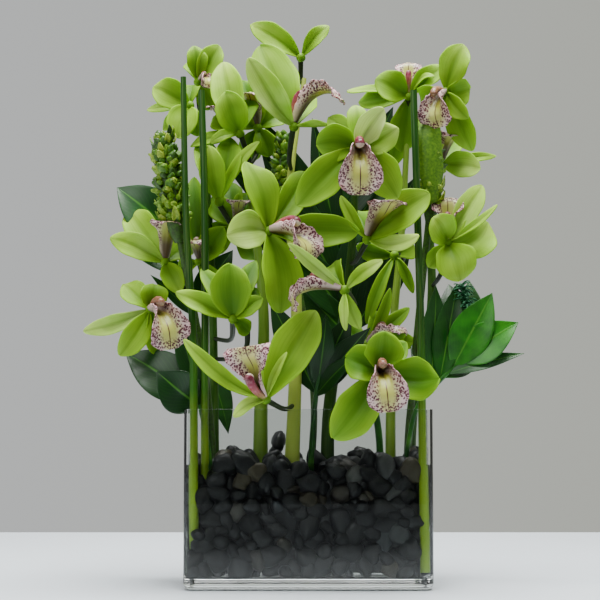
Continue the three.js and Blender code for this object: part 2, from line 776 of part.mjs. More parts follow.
function pedicel(curve, height, name, grow) {
  const { centre, forward } = bloomCentres.get(name);
  const start = stemPoint(curve, height);
  const middle = name in saggingPedicels
    ? vec(...saggingPedicels[name])
    : start.clone().lerp(centre, 0.5).addScaledVector(forward, -PEDICEL_BEND);
  const shape = { foot: PEDICEL_RADIUS, top: PEDICEL_RADIUS, sides: 4, steps: 3 };
  return stalkAlong([start, middle, centre], shape, grow);
}

function barePedicel(curve, { height, way }, grow) {
  const shape = { foot: PEDICEL_RADIUS, top: PEDICEL_RADIUS, sides: 4, steps: 6 };
  return stalkAlong([stemPoint(curve, height), ...way.map((point) => vec(...point))], shape, grow);
}

orchidStems.forEach(({ points, foot, top, blooms: carried }, index) => {
  const route = points.map((point) => vec(...point));
  const curve = new THREE.CatmullRomCurve3(route, false, 'centripetal');
  addPiece(`orchid_stem_${index + 1}`, (grow) => join([
    stalkAlong(route, { foot, top, sides: 6, steps: 7 }, grow),
    ...carried.map(([name, height]) => pedicel(curve, height, name, grow)),
    ...barePedicels.filter(({ stem }) => stem === index + 1).map((bare) => barePedicel(curve, bare, grow)),
  ]), materials.stalk);
});

// Leaf sprays: a stalk with leaves. Each leaf leaves the stalk at a height, and has its tip, its width
// and the way it faces.
const leafSprays = [
  {
    name: 'leaf_spray_left_high',
    stalk: [[-80, 28, STEM_FOOT], [-82, 30, 160], [-104, 24, 250], [-116, 20, 300]],
    radius: 2,
    leaves: [
      [296, [-166, 20, 338], 44, [0.1, -1, 0.15]],
      [262, [-164, 30, 293], 22, [0, -1, 0.5]],
      [225, [-134, 0, 260], 11, [0, -1, 0.3]],
      [230, [-66, 44, 286], 28, [0, -1, 0.3]],
      [182, [-68, 14, 125], 23, [0.5, -1, 0]],
    ],
  },
  {
    name: 'leaf_spray_left_low',
    stalk: [[-76, -26, STEM_FOOT], [-82, -26, 110], [-90, -24, 150], [-98, -18, 190]],
    radius: 2,
    leaves: [
      [152, [-154, -8, 193], 42, [0.2, -1, 0.2]],
      [160, [-109, -12, 222], 22, [0.1, -1, 0]],
      [147, [-125, -34, 177], 38, [-0.2, -1, 0.1]],
    ],
  },
  {
    name: 'leaf_spray_centre',
    stalk: [[-1, -8, STEM_FOOT], [4, -8, 128], [7, -14, 160], [10, -20, 176]],
    radius: 3.4,
    leaves: [
      [158, [51, -38, 213], 26, [-0.2, -1, 0.3]],
      [156, [39, -40, 190], 20, [-0.2, -1, 0.6]],
      [162, [15, -34, 224], 22, [0.2, -1, 0]],
      [160, [0, -30, 206], 12, [0.2, -1, 0]],
      [170, [36, -26, 226], 24, [0, -1, 0]],
      [158, [-32, -6, 238], 28, [0, -1, 0]],
    ],
  },
  {
    name: 'leaf_spray_right',
    stalk: [[74, -18, STEM_FOOT], [82, -20, 110], [92, -22, 150], [112, -22, 172], [136, -18, 196]],
    radius: 2,
    leaves: [
      [152, [108, -10, 250], 26, [0.2, -1, 0]],
      [162, [126, -8, 252], 26, [0, -1, 0]],
      [176, [154, -22, 243], 35, [0, -1, 0.1]],
      [182, [175, -26, 218], 34, [0, -1, 0.3]],
      [170, [179, -30, 192], 14, [0, -1, 0.5]],
      [166, [142, 2, 182], 16, [0, -1, 0.6]],
      [194, [138, 6, 256], 26, [0, -1, 0]],
      [190, [121, 12, 253], 34, [0, -1, 0]],
      [158, [87, -2, 204], 18, [0.1, -1, 0.1]],
    ],
  },
  {
    name: 'leaf_spray_back',
    stalk: [[62, 34, STEM_FOOT], [61, 36, 130], [44, 44, 200], [18, 46, 330]],
    radius: 3.6,
    leaves: [
      [220, [-22, 46, 300], 32, [0, -1, 0]],
      [215, [92, 44, 300], 34, [0, -1, 0]],
      [290, [-40, 42, 402], 28, [0, -1, 0]],
      [300, [76, 42, 414], 36, [0, -1, 0]],
      [320, [40, 38, 372], 26, [0, -1, 0]],
      [270, [-80, 48, 372], 26, [0, -1, 0]],
      [240, [96, 46, 352], 34, [0, -1, 0]],
      [250, [-70, 48, 318], 26, [0, -1, 0]],
      [200, [-14, 50, 262], 30, [0, -1, 0]],
      [240, [-42, 45, 377], 36, [0, -1, 0]],
      [286, [4, 40, 403], 24, [0, -1, 0]],
      [280, [84, 46, 386], 32, [0, -1, 0]],
      [225, [36, 42, 305], 30, [0, -1, 0]],
    ],
  },
];

const LEAF_STATIONS = [0, 0.27, 0.66, 1];

function leafHalfWidth(width) {
  return (along) => Math.max(1.2, (width / 2) * Math.sin(Math.PI * Math.pow(along, 0.85)));
}

function makeLeaf(curve, [height, tip, width, face], grow) {
  const lowest = curve.getPointAt(0).z;
  const highest = curve.getPointAt(1).z;
  const foot = curve.getPointAt((height - lowest) / (highest - lowest));
  const facing = vec(...face).normalize();
  const end = vec(...tip);
  const control = foot.clone().lerp(end, 0.5).addScaledVector(facing, width * 0.3);
  return blade({
    curve: new THREE.QuadraticBezierCurve3(foot, control, end),
    face: () => facing,
    halfWidth: leafHalfWidth(width),
    cup: (along) => width * 0.1 * Math.sin(Math.PI * along),
    thickness: LEAF_THICKNESS,
    stations: LEAF_STATIONS,
    columns: 2,
    grow,
  });
}

leafSprays.forEach(({ name, stalk, radius, leaves }) => {
  const route = stalk.map((point) => vec(...point));
  const curve = new THREE.CatmullRomCurve3(route, false, 'centripetal');
  const shape = { foot: radius, top: LEAF_STALK_RADIUS, sides: 5, steps: 4 };
  addPiece(name, (grow) => join([
    stalkAlong(route, shape, grow),
    ...leaves.map((leaf) => makeLeaf(curve, leaf, grow)),
  ]), materials.leaf);
});

// Pebbles: a core with a seeded layer of larger-than-life pebbles on every side of it, and two heaps
// that stand up among the stems
const BED_TOP = 93;
const PEBBLE_TOP = 106;
const PEBBLE_INSET = 1.5;
const PEBBLE_HALF = [17, 8, 17];
const PEBBLES_ALONG = 4;
const PEBBLES_ASIDE = 1;
const PEBBLE_ROWS = 2;
const TOP_ROWS = 2;
const HEAPS = [[-27, 14, 106], [-25, 15, 118], [42, 20, 105], [-62, 24, 103]];
const HEAP_HALF = [8.5, 8, 7.5];
const ROW_MARGIN = 4;
const ROW_SHIFT = 0.2;
const LOOSENESS = 4;
const LEAN = 0.6;
const CORE_SINK = 2;
const BED_CORNER = 1;
const GLASS_GAP = 1.2;
const FLOOR_GAP = 0.6;

function pebblePlaces() {
  const random = seededNumbers(7);
  const scatter = (spread) => (random() - 0.5) * spread;
  const halfLength = innerLength / 2 - PEBBLE_INSET - PEBBLE_HALF[1];
  const halfDepth = innerDepth / 2 - PEBBLE_INSET - PEBBLE_HALF[1];
  const lowest = BASE_THICKNESS + PEBBLE_INSET + PEBBLE_HALF[2];
  const pitch = (BED_TOP - ROW_MARGIN - lowest) / (PEBBLE_ROWS - 1);
  const places = [];
  for (let row = 0; row < PEBBLE_ROWS; row += 1) {
    const shift = row % 2 === 0 ? ROW_SHIFT : -ROW_SHIFT;
    const height = () => lowest + row * pitch + scatter(LOOSENESS);
    for (let index = 0; index < PEBBLES_ALONG; index += 1) {
      const x = ((index + 0.5 + shift) / PEBBLES_ALONG - 0.5) * 2 * (halfLength - ROW_MARGIN);
      places.push({ at: [x + scatter(LOOSENESS), -halfDepth, height()], turn: 0, lean: scatter(LEAN) });
      places.push({ at: [x + scatter(LOOSENESS), halfDepth, height()], turn: 0, lean: scatter(LEAN) });
    }
    for (let index = 0; index < PEBBLES_ASIDE; index += 1) {
      const y = ((index + 0.5 + shift) / PEBBLES_ASIDE - 0.5) * (halfDepth - ROW_MARGIN);
      places.push({ at: [-halfLength, y, height()], turn: Math.PI / 2, lean: scatter(LEAN) });
      places.push({ at: [halfLength, y, height()], turn: Math.PI / 2, lean: scatter(LEAN) });
    }
  }
  for (let row = 0; row < TOP_ROWS; row += 1) {
    for (let index = 0; index < PEBBLES_ALONG; index += 1) {
      const x = ((index + 0.5) / PEBBLES_ALONG - 0.5) * 2 * (halfLength - ROW_MARGIN);
      const y = (row - 0.5) * (halfDepth - ROW_MARGIN);
      const z = BED_TOP + 1 + scatter(LOOSENESS);
      places.push({ at: [x, y, z], turn: 0, lean: scatter(LEAN), flat: true });
    }
  }
  return places;
}

function pebbleBed(grow) {
  const coreInset = 2 * (PEBBLE_INSET + PEBBLE_HALF[1] - CORE_SINK - grow);
  const core = block(
    innerLength - coreInset,
    innerDepth - coreInset,
    BASE_THICKNESS + ROW_MARGIN - grow,
    BED_TOP + grow,
    BED_CORNER,
  );
  const pebbles = pebblePlaces().map(({ at, turn, lean, flat }) => {
    const geometry = new THREE.IcosahedronGeometry(1, 0);
    const [long, thin, tall] = PEBBLE_HALF.map((half) => half + grow * STALK_GROWTH);
    geometry.scale(long, flat ? tall : thin, flat ? thin : tall);
    geometry.rotateY(flat ? 0 : lean);
    geometry.rotateZ(turn + (flat ? lean : 0));
    geometry.translate(...at);
    return toSolid(geometry);
  });
  const heaps = HEAPS.map((at) => {
    const geometry = new THREE.IcosahedronGeometry(1, 0);
    geometry.scale(...HEAP_HALF.map((half) => half + grow * STALK_GROWTH));
    geometry.translate(...at);
    return toSolid(geometry);
  });
  const reach = block(
    innerLength - 2 * GLASS_GAP,
    innerDepth - 2 * GLASS_GAP,
    BASE_THICKNESS + FLOOR_GAP - grow,
    PEBBLE_TOP + grow,
    BED_CORNER,
  );
  return join([join([core, ...pebbles]).intersect(reach), ...heaps]);
}

addPiece('pebble_bed', pebbleBed, materials.pebble);

// Water: a film down the glass round the pebbles, up to the level of the water
const WATER_FILM = 0.7;

addPiece('water', () => {
  const full = block(
    innerLength - 2 * CLEARANCE,
    innerDepth - 2 * CLEARANCE,
    BASE_THICKNESS + CLEARANCE,
    WATER_LEVEL,
    innerCorner,
  );
  const inset = 2 * (CLEARANCE + WATER_FILM);
  const middle = block(innerLength - inset, innerDepth - inset, 0, WATER_LEVEL + RIM_SPARE, innerCorner);
  return full.subtract(middle);
}, materials.water);

export default arrangement;
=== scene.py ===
# Green cymbidium orchids, reeds, bud spikes and glossy leaves in a clear glass vase of black pebbles.
# Metres, +Z up, the front of the vase towards -Y, origin at the middle of the vase's underside.
import math
import random

import bmesh
import bpy
from mathutils import Euler, Matrix, Vector, kdtree, noise


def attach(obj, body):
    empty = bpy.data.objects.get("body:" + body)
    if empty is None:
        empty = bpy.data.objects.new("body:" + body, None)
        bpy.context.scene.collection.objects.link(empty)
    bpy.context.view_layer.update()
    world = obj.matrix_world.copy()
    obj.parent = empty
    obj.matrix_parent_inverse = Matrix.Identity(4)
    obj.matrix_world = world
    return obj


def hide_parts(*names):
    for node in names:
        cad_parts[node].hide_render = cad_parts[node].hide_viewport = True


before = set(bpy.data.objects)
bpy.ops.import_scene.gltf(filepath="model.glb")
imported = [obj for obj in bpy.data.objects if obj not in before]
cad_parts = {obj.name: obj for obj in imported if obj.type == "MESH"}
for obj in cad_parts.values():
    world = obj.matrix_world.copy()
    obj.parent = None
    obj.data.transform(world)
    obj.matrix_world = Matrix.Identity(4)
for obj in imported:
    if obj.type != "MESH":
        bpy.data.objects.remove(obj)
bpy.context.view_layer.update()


# Camera: a long lens at the height of the vase's rim, tipped up a little, as the photograph was taken.
PHOTO_PLACE = (-0.0068, -1.261, 0.146)
PHOTO_PITCH = 4.2
PHOTO_LENS = 89.16

bpy.ops.object.select_all(action="DESELECT")
bpy.ops.object.camera_add(location=PHOTO_PLACE, rotation=(math.radians(90 + PHOTO_PITCH), 0, 0))
camera = bpy.context.active_object
camera.name = "photo_camera"
camera.data.sensor_width = 36
camera.data.lens = PHOTO_LENS
bpy.context.scene.camera = camera


# Table: a white laminate board with its back edge well behind the vase and its front edge before the
# camera. It is only the stage, and gives the pale ground that the glass picks up.
TABLE_FRONT = -1.126
TABLE_BACK = 0.525
TABLE_HALF_WIDTH = 2.2
TABLE_THICKNESS = 0.03
TABLE_ROUNDING = 0.003
TABLE_DROP = 0.0002


def linear(code):
    """A linear colour from a hex code in sRGB."""
    parts = [int(code[i : i + 2], 16) / 255 for i in (1, 3, 5)]
    return [p / 12.92 if p <= 0.04045 else ((p + 0.055) / 1.055) ** 2.4 for p in parts] + [1.0]


def set_sockets(node, sockets):
    """Gives each named socket its value, or links it when it is given another node's output."""
    for name, value in sockets.items():
        if isinstance(value, bpy.types.NodeSocket):
            node.id_data.links.new(value, node.inputs[name])
        else:
            node.inputs[name].default_value = value


def add_node(tree, kind, sockets=None, stops=None, **settings):
    """Adds a node with its settings, its sockets and, for a ramp, its stops."""
    made = tree.nodes.new(kind)
    for name, value in settings.items():
        setattr(made, name, value)
    set_sockets(made, sockets or {})
    if stops:
        ramp = made.color_ramp
        while len(ramp.elements) < len(stops):
            ramp.elements.new(1.0)
        for element, (place, shade) in zip(ramp.elements, stops):
            element.position = place
            element.color = linear(shade)
    return made


def new_material(name):
    """An empty material with its output and its main shader."""
    made = bpy.data.materials.new(name)
    made.use_nodes = True
    made.node_tree.nodes.clear()
    shader = add_node(made.node_tree, "ShaderNodeBsdfPrincipled")
    add_node(made.node_tree, "ShaderNodeOutputMaterial", {"Surface": shader.outputs["BSDF"]})
    return made, made.node_tree, shader


bpy.ops.object.select_all(action="DESELECT")
bpy.ops.mesh.primitive_cube_add(size=1, location=(0, 0, 0))
table = bpy.context.active_object
table.name = "table"
table.scale = (2 * TABLE_HALF_WIDTH, TABLE_BACK - TABLE_FRONT, TABLE_THICKNESS)
table.location = (0, (TABLE_BACK + TABLE_FRONT) / 2, -TABLE_THICKNESS / 2 - TABLE_DROP)
bpy.ops.object.transform_apply(location=True, rotation=True, scale=True)
bpy.ops.object.mode_set(mode="EDIT")
bpy.ops.mesh.select_all(action="SELECT")
bpy.ops.mesh.bevel(offset=TABLE_ROUNDING, segments=3, affect="EDGES")
bpy.ops.object.mode_set(mode="OBJECT")

# Melamine laminate: cool white, half matt, with the faint unevenness of a wiped board. From just before
# the vase to its front edge it is painted dark grey, a painted shade, so that the glass mirrors a dim
# room as in the photograph
PAINTED_SHADE_FROM = -0.11
PAINTED_SHADE_TO = -0.45

laminate, tree, shader = new_material("white_melamine_laminate")
place = add_node(tree, "ShaderNodeTexCoord")
cloud = add_node(tree, "ShaderNodeTexNoise", {"Vector": place.outputs["Object"], "Scale": 3, "Detail": 3})
tone = add_node(
    tree, "ShaderNodeValToRGB", {"Fac": cloud.outputs["Fac"]}, stops=[(0.3, "#d6dee3"), (0.7, "#dde5ea")]
)
parts = add_node(tree, "ShaderNodeSeparateXYZ", {"Vector": place.outputs["Object"]})
# Painted shade: the board turns dark grey from just before the vase to its front edge
painted_shade = add_node(
    tree,
    "ShaderNodeMapRange",
    {"Value": parts.outputs["Y"], "From Min": PAINTED_SHADE_FROM, "From Max": PAINTED_SHADE_TO, "To Max": 0.95},
)
board = add_node(
    tree,
    "ShaderNodeMix",
    {"Factor": painted_shade.outputs["Result"], "A": tone.outputs["Color"], "B": linear("#3a3e42")},
    data_type="RGBA",
)
set_sockets(shader, {"Base Color": board.outputs["Result"], "Roughness": 0.42, "Specular IOR Level": 0.4})
table.data.materials.append(laminate)


# Room light: a plain pale wall behind, a darker room in front that shows only in the glass, and two
# large soft lamps above.
WALL_TONE = "#b9bbbb"
WALL_TONE_RIGHT = "#afb1a9"
ROOM_TONE = "#26282a"
WALL_LIGHT = 1.14
SHADOW_LIGHT = 0.5

world = bpy.data.worlds.new("plain_studio")
bpy.context.scene.world = world
world.use_nodes = True
tree = world.node_tree
tree.nodes.clear()
way = add_node(tree, "ShaderNodeTexCoord")
parts = add_node(tree, "ShaderNodeSeparateXYZ", {"Vector": way.outputs["Generated"]})
ahead = add_node(
    tree, "ShaderNodeMapRange", {"Value": parts.outputs["Y"], "From Min": -0.85, "From Max": -0.95}
)
side = add_node(
    tree, "ShaderNodeMapRange", {"Value": parts.outputs["X"], "From Min": -0.2, "From Max": 0.2}
)
wall = add_node(
    tree,
    "ShaderNodeMix",
    {"Factor": side.outputs["Result"], "A": linear(WALL_TONE), "B": linear(WALL_TONE_RIGHT)},
    data_type="RGBA",
)
ray = add_node(tree, "ShaderNodeLightPath")
dim = add_node(
    tree,
    "ShaderNodeMath",
    {0: ahead.outputs["Result"], 1: ray.outputs["Is Glossy Ray"]},
    operation="MULTIPLY",
)
tone = add_node(
    tree,
    "ShaderNodeMix",
    {"Factor": dim.outputs["Value"], "A": wall.outputs["Result"], "B": linear(ROOM_TONE)},
    data_type="RGBA",
)
strength = add_node(
    tree,
    "ShaderNodeMath",
    {0: ray.outputs["Is Diffuse Ray"], 1: SHADOW_LIGHT - WALL_LIGHT, 2: WALL_LIGHT},
    operation="MULTIPLY_ADD",
)
light = add_node(
    tree, "ShaderNodeBackground", {"Color": tone.outputs["Result"], "Strength": strength.outputs["Value"]}
)
add_node(tree, "ShaderNodeOutputWorld", {"Surface": light.outputs["Background"]})

# Each lamp: place, the point it looks at, width and power in watts
LAMPS = {
    "overhead_softbox": ((0.1, -0.15, 1.9), (0, -0.1, 0.2), 1.1, 110),
    "front_softbox": ((-1.1, -1.5, 1.1), (0, 0, 0.3), 0.9, 16),
}

for name, (spot, aim, width, power) in LAMPS.items():
    bpy.ops.object.select_all(action="DESELECT")
    bpy.ops.object.light_add(type="AREA", location=spot)
    lamp = bpy.context.active_object
    lamp.name = name
    lamp.data.size = width
    lamp.data.energy = power
    lamp.rotation_euler = (Vector(aim) - Vector(spot)).to_track_quat("-Z", "Y").to_euler()


# Glass vase: one block of clear soda glass, pressed hollow. Its walls are even, its base is thick, its
# standing corners and foot are rounded, and its rim is ground flat and polished.
VASE_LENGTH = 0.203
VASE_DEPTH = 0.102
VASE_HEIGHT = 0.146
WALL = 0.0032
BASE_THICKNESS = 0.009
STANDING_CORNER = 0.0065
FOOT_ROUNDING = 0.006
INNER_FOOT_ROUNDING = 0.0025
RIM_POLISH = 0.0006
WATER_LEVEL = 0.101
GLASS_INDEX = 1.5
WATER_INDEX = 1.333


def start_piece(name):
    """Names the new primitive and puts its place and scale into its mesh."""
    made = bpy.context.active_object
    made.name = name
    bpy.ops.object.transform_apply(location=True, rotation=True, scale=True)
    return made


def pick(made, kind, test):
    """In edit mode, selects only those faces or edges that pass the test on their corners' places."""
    bpy.ops.mesh.select_all(action="DESELECT")
    bpy.ops.mesh.select_mode(type=kind)
    sheet = bmesh.from_edit_mesh(made.data)
    for item in sheet.edges if kind == "EDGE" else sheet.faces:
        item.select = test([corner.co for corner in item.verts])
    sheet.select_flush_mode()
    bmesh.update_edit_mesh(made.data)


def apply_modifiers(made):
    """Applies the piece's modifiers in their order."""
    bpy.ops.object.select_all(action="DESELECT")
    made.select_set(True)
    bpy.context.view_layer.objects.active = made
    for name in [item.name for item in made.modifiers]:
        bpy.ops.object.modifier_apply(modifier=name)


def round_hollow_floor(ends):
    """Whether an edge runs round the floor of the hollow, inside the walls."""
    return all(
        abs(end.z - BASE_THICKNESS) < 1e-4
        and abs(end.x) < VASE_LENGTH / 2 - WALL / 2
        and abs(end.y) < VASE_DEPTH / 2 - WALL / 2
        for end in ends
    )


bpy.ops.object.select_all(action="DESELECT")
bpy.ops.mesh.primitive_cube_add(size=1, location=(0, 0, VASE_HEIGHT / 2))
bpy.context.active_object.scale = (VASE_LENGTH, VASE_DEPTH, VASE_HEIGHT)
vase = start_piece("glass_vase")
bpy.ops.object.mode_set(mode="EDIT")
pick(vase, "EDGE", lambda ends: abs(ends[0].z - ends[1].z) > 0.1)
bpy.ops.mesh.bevel(offset=STANDING_CORNER, segments=6, affect="EDGES")
pick(vase, "EDGE", lambda ends: all(end.z < 0.001 for end in ends))
bpy.ops.mesh.bevel(offset=FOOT_ROUNDING, segments=6, affect="EDGES")
pick(vase, "FACE", lambda corners: all(corner.z > VASE_HEIGHT - 0.001 for corner in corners))
bpy.ops.mesh.inset(thickness=WALL, depth=0)
drop = BASE_THICKNESS - VASE_HEIGHT
bpy.ops.mesh.extrude_region_move(TRANSFORM_OT_translate={"value": (0, 0, drop)})
bpy.ops.mesh.select_mode(type="EDGE")
pick(vase, "EDGE", round_hollow_floor)
bpy.ops.mesh.bevel(offset=INNER_FOOT_ROUNDING, segments=4, affect="EDGES")
bpy.ops.mesh.select_all(action="SELECT")
bpy.ops.mesh.bisect(plane_co=(0, 0, WATER_LEVEL), plane_no=(0, 0, 1))
bpy.ops.object.mode_set(mode="OBJECT")
bevel = vase.modifiers.new("rim_polish", "BEVEL")
bevel.width = RIM_POLISH
bevel.segments = 2
bevel.limit_method = "ANGLE"
bevel.angle_limit = math.radians(60)
apply_modifiers(vase)
bpy.ops.object.shade_smooth_by_angle(angle=math.radians(40))
even = vase.modifiers.new("flat_walls", "WEIGHTED_NORMAL")
even.keep_sharp = True
apply_modifiers(vase)

# Soda glass: clear with a trace of green through its length, smooth, index 1.5
soda_glass, tree, shader = new_material("clear_soda_glass")
set_sockets(
    shader,
    {
        "Base Color": linear("#f6faf8"),
        "Roughness": 0.0,
        "IOR": GLASS_INDEX,
        "Transmission Weight": 1.0,
    },
)
vase.data.materials.append(soda_glass)

# Wetted glass: the same glass below the water line, where its inside meets water and not air
wetted_glass, tree, shader = new_material("wetted_soda_glass")
set_sockets(
    shader,
    {
        "Base Color": linear("#f6faf8"),
        "Roughness": 0.0,
        "IOR": GLASS_INDEX / WATER_INDEX,
        "Transmission Weight": 1.0,
    },
)
vase.data.materials.append(wetted_glass)


def is_wetted(corners):
    """Whether a face of the hollow lies below the water line."""
    middle = sum(corners, Vector()) / len(corners)
    inside = abs(middle.x) < VASE_LENGTH / 2 - WALL * 0.6 and abs(middle.y) < VASE_DEPTH / 2 - WALL * 0.6
    return inside and BASE_THICKNESS - 1e-5 < middle.z < WATER_LEVEL


bpy.ops.object.mode_set(mode="EDIT")
pick(vase, "FACE", is_wetted)
vase.active_material_index = 1
bpy.ops.object.material_slot_assign()
bpy.ops.object.mode_set(mode="OBJECT")
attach(vase, "root")
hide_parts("vase")


# Water: plain tap water, poured in after the stems. It stands between the pebbles up to two thirds of
# the vase and wets the glass on every side.
WETTING = 0.0001

bpy.ops.object.select_all(action="DESELECT")
bpy.ops.mesh.primitive_cube_add(size=1, location=(0, 0, (WATER_LEVEL + BASE_THICKNESS - WETTING) / 2))
bpy.context.active_object.scale = (
    VASE_LENGTH - 2 * WALL + 2 * WETTING,
    VASE_DEPTH - 2 * WALL + 2 * WETTING,
    WATER_LEVEL - BASE_THICKNESS + WETTING,
)
water = start_piece("water_in_the_vase")
bpy.ops.object.mode_set(mode="EDIT")
pick(water, "EDGE", lambda ends: abs(ends[0].z - ends[1].z) > 0.05)
bpy.ops.mesh.bevel(offset=STANDING_CORNER - WALL, segments=6, affect="EDGES")
pick(water, "EDGE", lambda ends: all(end.z < WATER_LEVEL / 2 for end in ends))
bpy.ops.mesh.bevel(offset=INNER_FOOT_ROUNDING, segments=4, affect="EDGES")
bpy.ops.object.mode_set(mode="OBJECT")
bpy.ops.object.shade_smooth_by_angle(angle=math.radians(40))
even = water.modifiers.new("flat_sides", "WEIGHTED_NORMAL")
even.keep_sharp = True
apply_modifiers(water)

# Clean water: clear, index 1.33
clear_water, tree, shader = new_material("clear_water")
set_sockets(
    shader,
    {
        "Base Color": linear("#f4f8f6"),
        "Roughness": 0.0,
        "IOR": WATER_INDEX,
        "Transmission Weight": 1.0,
    },
)
water.data.materials.append(clear_water)

# Where water lies on the glass it has no surface of its own: the wetted glass already bends the light
water_on_glass, tree, shader = new_material("water_against_the_glass")
set_sockets(shader, {"Base Color": linear("#f4f8f6"), "Alpha": 0.0})
water.data.materials.append(water_on_glass)
bpy.ops.object.mode_set(mode="EDIT")
pick(water, "FACE", lambda corners: any(corner.z < WATER_LEVEL - 1e-4 for corner in corners))
water.active_material_index = 1
bpy.ops.object.material_slot_assign()
bpy.ops.object.mode_set(mode="OBJECT")
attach(water, "root")
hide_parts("water")


# Reeds: three long smooth stems, cut square at the top. Two stand at the left front corner of the
# vase and one at the right. They are pale where they stand in the vase and dark green above it.
# Each has its way, in millimetres, and its radius at the foot and at the top
MM = 0.001
REEDS = [
    (
        [(-92, -33, 14), (-93, -37, 50), (-93.5, -41, 110), (-95, -40, 211), (-101, -40, 300),
         (-104, -40, 422)], 3.9, 2.4,
    ),
    (
        [(-85, -22, 14), (-85.2, -30, 110), (-85.2, -36, 160), (-85, -38, 211), (-86, -38, 319),
         (-89, -38, 411)], 3.5, 2.8,
    ),
    (
        [(94.2, -41, 14), (93, -41, 153), (92, -40, 240), (90, -38, 327), (88, -38, 411)], 3.7, 2.8,
    ),
]


class Route:
    """A smooth way through points in millimetres, read by the share of its length that is gone."""

    def __init__(self, stops):
        self.stops = stops
        self.gone = [0.0]
        for near, far in zip(stops, stops[1:]):
            self.gone.append(self.gone[-1] + (far - near).length)

    def at(self, share):
        goal = min(max(share, 0), 1) * self.gone[-1]
        index = max(i for i in range(len(self.gone) - 1) if self.gone[i] <= goal + 1e-9)
        near, far = self.stops[index], self.stops[index + 1]
        part = (goal - self.gone[index]) / max(self.gone[index + 1] - self.gone[index], 1e-9)
        return near.lerp(far, part)

    def at_height(self, height):
        """The point at about a height, on a way that climbs evenly."""
        lowest, highest = self.stops[0].z, self.stops[-1].z
        return self.at((height - lowest) / (highest - lowest))

    def heading(self, share):
        return (self.at(share + 0.02) - self.at(share - 0.02)).normalized()


def smooth_route(points, steps=16):
    """A curve through the points that doesn't swing wide between them (centripetal Catmull-Rom)."""
    marks = [Vector(point) for point in points]
    marks = [2 * marks[0] - marks[1], *marks, 2 * marks[-1] - marks[-2]]
    stops = []
    for a, b, c, d in zip(marks, marks[1:], marks[2:], marks[3:]):
        gaps = [max((q - p).length ** 0.5, 1e-3) for p, q in ((a, b), (b, c), (c, d))]
        leave = (b - a) / gaps[0] - (c - a) / (gaps[0] + gaps[1]) + (c - b) / gaps[1]
        reach = (c - b) / gaps[1] - (d - b) / (gaps[1] + gaps[2]) + (d - c) / gaps[2]
        leave, reach = leave * gaps[1], reach * gaps[1]
        for step in range(steps):
            t = step / steps
            spot = b + leave * t + (3 * (c - b) - 2 * leave - reach) * t**2
            stops.append(spot + (2 * (b - c) + leave + reach) * t**3)
    return Route([*stops, marks[-2]])


def stem_along(name, route, radius, stops, sides):
    """A closed round stem along a route. Its radius, in millimetres, is a function of the way along."""
    line = bpy.data.curves.new(name, "CURVE")
    line.dimensions = "3D"
    line.bevel_depth = MM
    line.bevel_resolution = sides // 4
    line.use_fill_caps = True
    spline = line.splines.new("POLY")
    spline.points.add(stops)
    for index, point in enumerate(spline.points):
        share = index / stops
        point.co = [*(route.at(share) * MM), 1]
        point.radius = radius(share)
    made = bpy.data.objects.new(name, line)
    bpy.context.scene.collection.objects.link(made)
    bpy.ops.object.select_all(action="DESELECT")
    made.select_set(True)
    bpy.context.view_layer.objects.active = made
    bpy.ops.object.convert(target="MESH")
    made = bpy.context.active_object
    bpy.ops.object.mode_set(mode="EDIT")
    bpy.ops.mesh.select_all(action="SELECT")
    bpy.ops.mesh.remove_doubles(threshold=1e-6)
    bpy.ops.object.mode_set(mode="OBJECT")
    bpy.ops.object.shade_smooth_by_angle(angle=math.radians(50))
    return made


# Reed skin: satin, with fine lengthwise ribs about 1 mm apart, pale yellow-green low down where no
# sun reached it and deep green above the rim
reed_skin, tree, shader = new_material("satin_reed_skin")
place = add_node(tree, "ShaderNodeTexCoord")
parts = add_node(tree, "ShaderNodeSeparateXYZ", {"Vector": place.outputs["Object"]})
height = add_node(
    tree, "ShaderNodeMapRange", {"Value": parts.outputs["Z"], "From Min": 0.0, "From Max": 0.45}
)
tone = add_node(
    tree,
    "ShaderNodeValToRGB",
    {"Fac": height.outputs["Result"]},
    stops=[(0.0, "#86a81c"), (0.27, "#76961a"), (0.36, "#285c08"), (0.5, "#0f3a02"), (1.0, "#174c04")],
)
ribs = add_node(tree, "ShaderNodeMapping", {"Vector": place.outputs["Object"], "Scale": (900, 900, 14)})
grain = add_node(tree, "ShaderNodeTexNoise", {"Vector": ribs.outputs["Vector"], "Scale": 1.0, "Detail": 3})
soften = add_node(
    tree,
    "ShaderNodeMapRange",
    {"Value": grain.outputs["Fac"], "From Min": 0.45, "From Max": 0.95, "To Max": 0.24},
)
streak = add_node(
    tree,
    "ShaderNodeMix",
    {"Factor": soften.outputs["Result"], "A": tone.outputs["Color"], "B": linear("#a8bf5c")},
    data_type="RGBA",
)
bump = add_node(
    tree,
    "ShaderNodeBump",
    {"Height": grain.outputs["Fac"], "Strength": 0.25, "Distance": 0.0003},
)
set_sockets(
    shader,
    {
        "Base Color": streak.outputs["Result"],
        "Normal": bump.outputs["Normal"],
        "Roughness": 0.38,
        "Specular IOR Level": 0.3,
    },
)

for number, (points, foot, top) in enumerate(REEDS, 1):
    reed = stem_along(
        f"reed_stem_{number}", smooth_route(points), lambda share: foot + (top - foot) * share, 60, 16
    )
    reed.data.materials.append(reed_skin)
    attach(reed, "root")
    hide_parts(f"reed_{number}")


